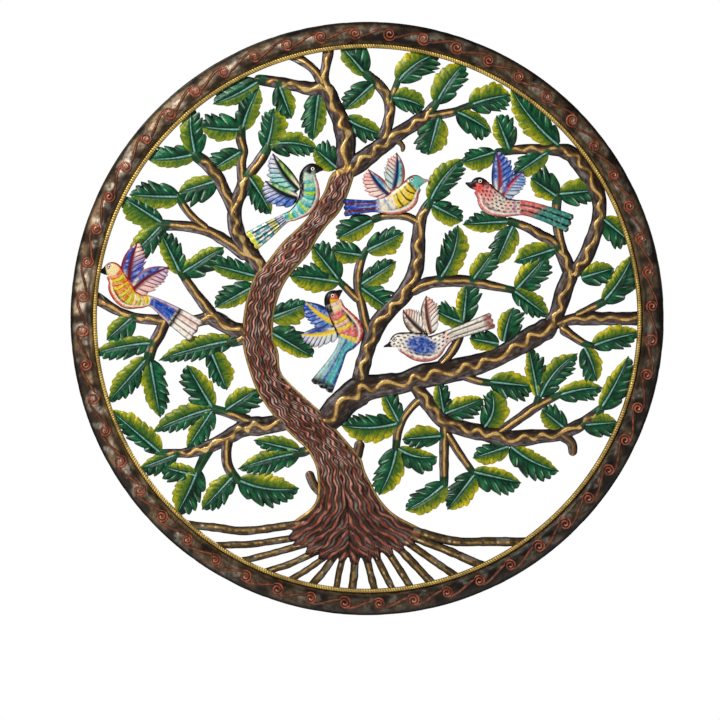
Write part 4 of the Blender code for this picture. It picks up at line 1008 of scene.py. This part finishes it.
# Each bird: its spine from beak tip to tail end, with half-widths; the belly's side, 1 for left of
# travel; how far along the tail starts; the eye; and the wings as frond plans, each with the colours
# of the front panel, the feathers near and far, the midrib and the edges.
BIRDS = {
    "bird_left_top": dict(
        spine=[(-64, 216, 1.2), (-71, 217, 5), (-80, 216, 10), (-86, 206, 12.5), (-84, 192, 14),
               (-84, 178, 15), (-91, 163, 14), (-106, 151, 9), (-120, 145, 7.5), (-145, 128, 12),
               (-167, 113, 15)],
        belly=1, tail=106, body=body_left_top, tail_paint=tail_plaid, eye=(-79, 217),
        beak=SOOT, trim=PINK, back=BLACK,
        wings=[((-99, 187, -137, 240, 19, 10, "L", 4),
                (mix(TEAL, LIME, 0.6), mix(AQUA, PALE_MINT, 0.6), LILAC, BLACK, BLACK)),
               ((-101, 175, -148, 200, 20, 10, "L", 4),
                (mix(AQUA, LIME, 0.6), mix(BLUE, SKY, 0.4), LILAC, BLACK, BLACK))]),
    "bird_centre_top": dict(
        spine=[(92, 201, 0.8), (83, 200, 3.5), (71, 198, 11.5), (63, 188, 15), (54, 176, 20),
               (38, 167, 17), (20, 164, 11), (4, 163, 9), (-32, 161, 13)],
        belly=1, tail=84, body=body_centre_top, tail_paint=tail_blue_red, eye=(65, 201),
        beak=rgb(166, 160, 150), trim=mix(PINK, CORAL, 0.4), back=rgb(150, 50, 44),
        wings=[((38, 183, 43, 241, 18, 10, "L", -3),
                (AQUA, mix(AQUA, WHITE, 0.5), mix(PINK, WHITE, 0.5), NAVY, rgb(170, 36, 44))),
               ((34, 178, 2, 217, 18, 10, "L", 3),
                (mix(AQUA, SKY, 0.4), mix(PINK, WHITE, 0.7), mix(PINK, WHITE, 0.4), NAVY,
                 rgb(176, 40, 48)))]),
    "bird_right_top": dict(
        spine=[(143, 197, 1.0), (151, 194, 5), (162, 194, 12), (172, 183, 15), (181, 170, 19),
               (198, 162, 15), (214, 161, 12), (232, 160, 11), (262, 151, 12), (294, 138, 14)],
        belly=-1, tail=92, body=body_right_top, tail_paint=tail_red_teal, eye=(164, 199),
        beak=rgb(44, 40, 40), trim=PINK, back=SOOT,
        wings=[((191, 178, 188, 244, 18, 11, "R", -3),
                (mix(BLUE, SKY, 0.5), mix(BLUE, SKY, 0.4), BLUE, rgb(140, 52, 56), NAVY)),
               ((193, 173, 227, 213, 18, 10, "R", 3),
                (BLUE, mix(SKY, WHITE, 0.4), SKY, rgb(160, 40, 50), NAVY))]),
    "bird_left_low": dict(
        spine=[(-390, 68, 1.2), (-383, 69, 5), (-371, 70, 12.5), (-363, 58, 14), (-358, 44, 18),
               (-347, 30, 16.5), (-330, 25, 10.5), (-312, 24, 8), (-283, 5, 14), (-249, -18, 18)],
        belly=-1, tail=98, body=body_left_low, tail_paint=tail_panels, eye=(-374, 75),
        beak=SOOT, trim=CORAL, back=rgb(196, 48, 40),
        wings=[((-346, 46, -333, 112, 19, 12, "R", 4),
                (BLUE, BLUE, mix(PINK, WHITE, 0.5), MAROON, rgb(132, 36, 44))),
               ((-344, 38, -288, 74, 20, 12, "R", 4),
                (BLUE, mix(PINK, WHITE, 0.55), mix(SKY, PINK, 0.5), MAROON, rgb(110, 30, 50)))]),
    "bird_centre_low": dict(
        spine=[(-36, 41, 1.2), (-42, 37, 5), (-50, 29, 12), (-45, 12, 14), (-33, -5, 18),
               (-25, -20, 20), (-29, -34, 15), (-37, -46, 9), (-48, -68, 12), (-66, -99, 18)],
        belly=1, tail=84, body=body_centre_low, tail_paint=tail_teal, eye=(-50, 33),
        beak=SOOT, trim=mix(CORAL, RED, 0.3), back=SOOT,
        wings=[((-45, -8, -90, 25, 17, 12, "L", 3),
                (mix(BLUE, SKY, 0.3), mix(BLUE, SKY, 0.5), BLUE, SUN, NAVY)),
               ((-42, -17, -97, -23, 16, 10, "L", 3),
                (BLUE, mix(WHITE, SKY, 0.3), LILAC, SUN, BLACK))]),
    "bird_right_low": dict(
        spine=[(24, -41, 1.0), (33, -38, 4), (44, -33, 11.5), (58, -36, 17), (76, -41, 21.5),
               (93, -42, 19), (108, -32, 12), (122, -24, 9), (150, -14, 10), (181, -3, 12)],
        belly=-1, tail=102, body=body_right_low, tail_paint=tail_fawn, eye=(39, -30),
        beak=SOOT, trim=PINK, back=SOOT,
        wings=[((84, -22, 52, 12, 16, 10, "R", 2),
                (mix(FAWN, WHITE, 0.4), WHITE, mix(FAWN, PINK, 0.4), rgb(60, 42, 40), rgb(84, 56, 52))),
               ((93, -23, 86, 33, 17, 9, "R", 3),
                (mix(FAWN, WHITE, 0.3), WHITE, mix(PINK, FAWN, 0.5), rgb(104, 50, 44), rgb(84, 50, 48)))]),
}


def add_wing(piece, spec, paints):
    """A wing: a smooth panel in front of the midrib and a row of slit feathers behind it."""
    panel, near, far, rib, edge = paints
    x, z, u, finger, half, place, s, out, full = frond(
        spec, 8, 1, 1.1, 81, slant=(36, 12), depth=(0.20, 0.0))
    pillow = np.sin(math.pi * u ** 0.8)
    height = full * (1.6 + 1.7 * pillow - 0.6 * u) + 1.3 * (finger - 0.5) * (half < 0) * u * full
    height = height + 0.3 * (half == 0)
    grain = mottle(x, z, 2.6, 81)
    slit = np.maximum(fade(0.05, 0.26, place), step(0.9, 1.0, place))
    feathers = coats(
        mix(near, far, step(0.2, 0.8, s)),
        (WHITE, 0.7 * step(0.35, 0.85, grain) * bump(place, 0.5, 0.42)),
        (edge, 0.55 * step(0.8, 0.98, u)),
        (edge * 0.3, slit * step(0.1, 0.25, u)))
    inner = coats(
        mix(mix(CREAM, WHITE, 0.4), panel, step(0.08, 0.42, s)),
        (WHITE, 0.65 * bump(u, 0.42, 0.3) * step(0.35, 0.85, grain)),
        (edge * 0.4, 0.6 * step(0.5, 0.85, mottle(18 * s, out, 1.5, 85))),
        (feathers, step(0.8, 0.9, s)),
        (edge, 0.95 * step(0.62, 0.82, u)))
    colour = np.where((half < 0)[..., None], feathers, inner)
    colour = mix(colour, rib, 0.97 * fade(0.10, 0.2, u))
    piece.shell(spread(x, z, height, BIRD_LEVEL - 1.0), colour, 0.05)


def add_eye(piece, spot, level):
    """A small raised eye: black rim, white ring, black pupil."""
    a = np.linspace(0, TAU, 33)[:, None]
    q = np.linspace(0.02, 1, 15)[None]
    r = 3.7 * q
    height = 1.5 * np.sqrt(np.clip(1.05 - q ** 2, 0, 1))
    colour = mix(BLACK, rgb(250, 248, 240), step(0.36, 0.46, q) * fade(0.62, 0.72, q))
    grid = face(spot[0] + r * np.cos(a), level + height, spot[1] + r * np.sin(a))
    piece.shell(grid, colour, 0.0, thick=1.5)


def add_bird(piece, bird):
    """The wings, the domed body with its tail in front of them, and a raised eye."""
    line, along = curve(bird["spine"], 0.8)
    run, _ = directions(line)
    t = np.linspace(-1, 1, 41)
    s, half = along[:, None], np.maximum(line[:, 2], 0.6)[:, None]
    k = np.clip((s - bird["tail"]) / (along[-1] - bird["tail"]), 0, 1)
    fringe = 2.4 * np.abs(np.sin(1.5 * math.pi * (t + 1))) * step(0.85, 1.0, k)
    x, z = ribbon(line, t * half)
    x, z = x + run[:, 0, None] * fringe, z + run[:, 1, None] * fringe
    plump = np.minimum(5.5, 0.45 * half)
    flat = 1.6 + 0.6 * np.cos(3 * math.pi * t)
    in_tail = step(0.02, 0.2, k)
    height = arched(t, 2.4, 0.6) * (plump * (1 - in_tail) + flat * in_tail)
    belly = bird["belly"] * t
    whole_body = fade(0.0, 0.05, k)
    breast = whole_body * step(24, 34, s)
    colour = coats(
        bird["body"](s, t, half),
        (BLACK, 0.9 * bump(belly, 0.52, 0.11) * bump(s, 58, 26) * whole_body),
        (WHITE, 0.9 * bump(belly, 0.69, 0.13) * breast),
        (bird["trim"], step(0.76, 0.82, belly) * breast),
        (bird["trim"] * 0.55, step(0.93, 1.0, belly) * breast),
        (bird["back"], step(0.76, 0.86, -belly) * whole_body),
        (bird["tail_paint"](k, t), step(0.0, 0.05, k)),
        (BLACK, step(0.86, 0.98, np.abs(t)) * (0.5 + 0.4 * in_tail)),
        (bird["beak"], fade(10, 12, s)),
        (WHITE, (0.34 - 0.1 * in_tail) * step(0.45, 0.95, mottle(x, z, 2.4, 83)) * (s > 26)))
    colour = mix(colour, colour * 0.3, 0.45 * step(0.5, 0.95, mottle(x, z, 2.8, 84)) * (s > 26))
    for spec, paints in bird["wings"]:
        add_wing(piece, spec, paints)
    piece.shell(spread(x, z, height, BIRD_LEVEL), colour, 0.05)
    add_eye(piece, bird["eye"], BIRD_LEVEL + 4.0)


def build_birds(paint):
    for name, bird in BIRDS.items():
        piece = Piece(name + "_painted")
        add_bird(piece, bird)
        piece.build(paint, name)


# ---------------------------------------------------------------- materials
class Nodes:
    """Short forms for wiring a material."""

    def __init__(self, name):
        self.material = bpy.data.materials.new(name)
        self.material.use_nodes = True
        self.tree = self.material.node_tree
        self.shader = self.tree.nodes["Principled BSDF"]

    def add(self, kind, **values):
        """A node with some of its inputs or settings filled in."""
        made = self.tree.nodes.new(kind)
        for key, value in values.items():
            if key in made.inputs:
                made.inputs[key].default_value = value
            else:
                setattr(made, key, value)
        return made

    def link(self, source, target):
        self.tree.links.new(source, target)

    def to_shader(self, source, target):
        """Feeds one of the surface's inputs from a socket, or sets it to a value."""
        socket = self.shader.inputs[target]
        if isinstance(source, bpy.types.NodeSocket):
            self.link(source, socket)
        else:
            socket.default_value = source

    def noise(self, scale, detail, stretch=(1, 1, 1)):
        """Noise from 0 to 1 in the object's own space."""
        where = self.add("ShaderNodeTexCoord")
        sized = self.add("ShaderNodeMapping", Scale=stretch)
        self.link(where.outputs["Object"], sized.inputs["Vector"])
        made = self.add("ShaderNodeTexNoise", Scale=scale, Detail=detail)
        self.link(sized.outputs["Vector"], made.inputs["Vector"])
        return made.outputs["Fac"]

    def fit(self, value, *limits):
        """A value carried from one range, low and high, to another, low and high."""
        made = self.add("ShaderNodeMapRange")
        for name, limit in zip(("From Min", "From Max", "To Min", "To Max"), limits):
            made.inputs[name].default_value = limit
        self.link(value, made.inputs["Value"])
        return made.outputs["Result"]

    def blend(self, kind, a, b, factor):
        """One colour laid over another by a factor."""
        made = self.add("ShaderNodeMix", data_type="RGBA", blend_type=kind)
        for value, socket in ((factor, made.inputs[0]), (a, made.inputs[6]), (b, made.inputs[7])):
            if isinstance(value, bpy.types.NodeSocket):
                self.link(value, socket)
            else:
                socket.default_value = value
        return made.outputs[2]


def painted_steel(name, rough, brush, hammer, brush_depth):
    """Enamel brushed over hammered steel: colour from the sheet, with brush marks and wear."""
    n = Nodes(name)
    paint = n.add("ShaderNodeAttribute", attribute_name="paint")
    metal = n.add("ShaderNodeAttribute", attribute_name="metal")
    strokes = n.noise(brush, 5.0, (1.0, 1.0, 0.35))
    shade = n.fit(strokes, 0.3, 0.7, 1 - brush_depth, 1 + brush_depth * 0.7)
    tone = n.add("ShaderNodeCombineColor")
    for k in range(3):
        n.link(shade, tone.inputs[k])
    deep = n.add("ShaderNodeGamma", Gamma=1.18)
    n.link(paint.outputs["Color"], deep.inputs["Color"])
    colour = n.blend("MULTIPLY", deep.outputs[0], tone.outputs[0], 1.0)
    chips = n.fit(n.noise(brush * 0.45, 8.0), 0.68, 0.72, 0.0, 0.55)
    n.to_shader(n.blend("MIX", colour, (0.03, 0.024, 0.02, 1), chips), "Base Color")
    n.to_shader(metal.outputs["Fac"], "Metallic")
    n.to_shader(n.fit(n.noise(brush * 0.8, 4.0), 0.3, 0.7, rough - 0.1, rough + 0.14), "Roughness")
    n.to_shader(0.16, "Specular IOR Level")
    n.to_shader(0.05, "Coat Weight")
    n.to_shader(0.3, "Coat Roughness")
    marks = n.add("ShaderNodeBump", Strength=0.6, Distance=0.0005)
    n.link(n.noise(hammer, 3.0), marks.inputs["Height"])
    grain = n.add("ShaderNodeBump", Strength=0.35, Distance=0.00025)
    n.link(strokes, grain.inputs["Height"])
    n.link(marks.outputs["Normal"], grain.inputs["Normal"])
    n.to_shader(grain.outputs["Normal"], "Normal")
    return n.material


def zinc_wire():
    """Zinc-plated steel with dull patches, for the hangers."""
    n = Nodes("zinc_plated_wire")
    spangle = n.noise(900, 3.0)
    colour = n.blend("MIX", (0.42, 0.42, 0.43, 1), (0.62, 0.62, 0.60, 1), spangle)
    dull = n.fit(n.noise(260, 5.0), 0.55, 0.7, 0.0, 0.6)
    n.to_shader(n.blend("MIX", colour, (0.20, 0.16, 0.12, 1), dull), "Base Color")
    n.to_shader(0.85, "Metallic")
    n.to_shader(n.fit(spangle, 0.3, 0.7, 0.28, 0.5), "Roughness")
    marks = n.add("ShaderNodeBump", Strength=0.3, Distance=0.0001)
    n.link(spangle, marks.inputs["Height"])
    n.to_shader(marks.outputs["Normal"], "Normal")
    return n.material


def floor_paint():
    """Pale matt floor, which glows a little more for the camera than for the panel."""
    n = Nodes("pale_floor")
    colour = n.blend("MIX", (0.86, 0.86, 0.85, 1), (0.90, 0.90, 0.90, 1), n.noise(3.0, 2.0))
    n.to_shader(colour, "Base Color")
    n.to_shader(colour, "Emission Color")
    seen = n.add("ShaderNodeLightPath")
    n.to_shader(n.fit(seen.outputs["Is Camera Ray"], 0, 1, 0.2, 0.85), "Emission Strength")
    n.to_shader(0.9, "Roughness")
    return n.material


# ---------------------------------------------------------------- stage, light and camera, in metres
FLOOR_SIZE, FLOOR_DROP, FLOOR_BEHIND = 4.0, 0.30, 0.9
SKY_LIGHT = 0.12       # the studio's soft light; the backdrop itself is seen as white
LIGHTS = (             # name, place from the ring's centre, size and power
    ("key", (-1.2, -1.6, 1.5), 0.5, 64),
    ("fill", (1.6, -1.4, 0.2), 0.8, 8),
    ("behind", (1.0, 1.7, 1.2), 0.8, 44))
CAMERA_PLACE = (-0.0104, -3.9, -0.0604)     # from the ring's centre
VIEW_WIDTH = 1048.508 * MM                  # what the camera takes in at the ring
SENSOR = 36.0


def add_object(name, data):
    made = bpy.data.objects.new(name, data)
    bpy.context.collection.objects.link(made)
    return made


def from_centre(offset):
    return Vector(CENTRE) + Vector(offset)


def build_stage(paint):
    """A floor under the panel and a little way behind it."""
    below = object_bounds()[0][2] - FLOOR_DROP
    corners = [(x, y, below) for x, y in ((-FLOOR_SIZE, -FLOOR_SIZE), (FLOOR_SIZE, -FLOOR_SIZE),
                                          (FLOOR_SIZE, FLOOR_BEHIND), (-FLOOR_SIZE, FLOOR_BEHIND))]
    mesh = bpy.data.meshes.new("floor")
    mesh.from_pydata(corners, [], [(0, 1, 2, 3)])
    mesh.materials.append(paint)
    add_object("floor", mesh)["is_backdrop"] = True


def light_the_studio():
    """A dim white world that the camera sees as plain white, and three round lights."""
    world = bpy.data.worlds.new("studio")
    world.use_nodes = True
    tree = world.node_tree
    sky = tree.nodes["Background"]
    sky.inputs["Color"].default_value = (1, 1, 1, 1)
    seen = tree.nodes.new("ShaderNodeLightPath")
    level = tree.nodes.new("ShaderNodeMapRange")
    level.inputs["To Min"].default_value = SKY_LIGHT
    level.inputs["To Max"].default_value = 1.0
    tree.links.new(seen.outputs["Is Camera Ray"], level.inputs["Value"])
    tree.links.new(level.outputs["Result"], sky.inputs["Strength"])
    bpy.context.scene.world = world
    bpy.context.scene.view_settings.view_transform = "Standard"
    for name, offset, size, power in LIGHTS:
        light = bpy.data.lights.new(name, "AREA")
        light.shape = "DISK"
        light.size, light.energy = size, power
        made = add_object(name, light)
        made.location = from_centre(offset)
        made.rotation_euler = (-Vector(offset)).to_track_quat("-Z", "Y").to_euler()


def place_camera():
    """Straight in front of the panel."""
    camera = bpy.data.cameras.new("camera")
    camera.sensor_width = SENSOR
    camera.lens = SENSOR * -CAMERA_PLACE[1] / VIEW_WIDTH
    made = add_object("camera", camera)
    made.location = from_centre(CAMERA_PLACE)
    made.rotation_euler = (math.pi / 2, 0, 0)
    bpy.context.scene.camera = made


def dress_hangers(wire):
    for name in ("hanger_strap_left", "hanger_strap_right", "hanger_ring_left", "hanger_ring_right"):
        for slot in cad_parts[name].material_slots:
            slot.material = wire


def main():
    leaf_paint = painted_steel("leaf_enamel", 0.40, 900, 260, 0.42)
    bark_paint = painted_steel("bark_enamel", 0.44, 700, 300, 0.34)
    ring_paint = painted_steel("ring_bronze", 0.46, 420, 240, 0.40)
    gold_paint = painted_steel("old_gold", 0.40, 800, 420, 0.30)
    bird_paint = painted_steel("bird_enamel", 0.36, 1100, 380, 0.20)
    build_ring(ring_paint)
    build_rope_bead(gold_paint)
    build_trunk(bark_paint)
    build_boughs(leaf_paint)
    build_birds(bird_paint)
    dress_hangers(zinc_wire())
    build_stage(floor_paint())
    light_the_studio()
    place_camera()


main()
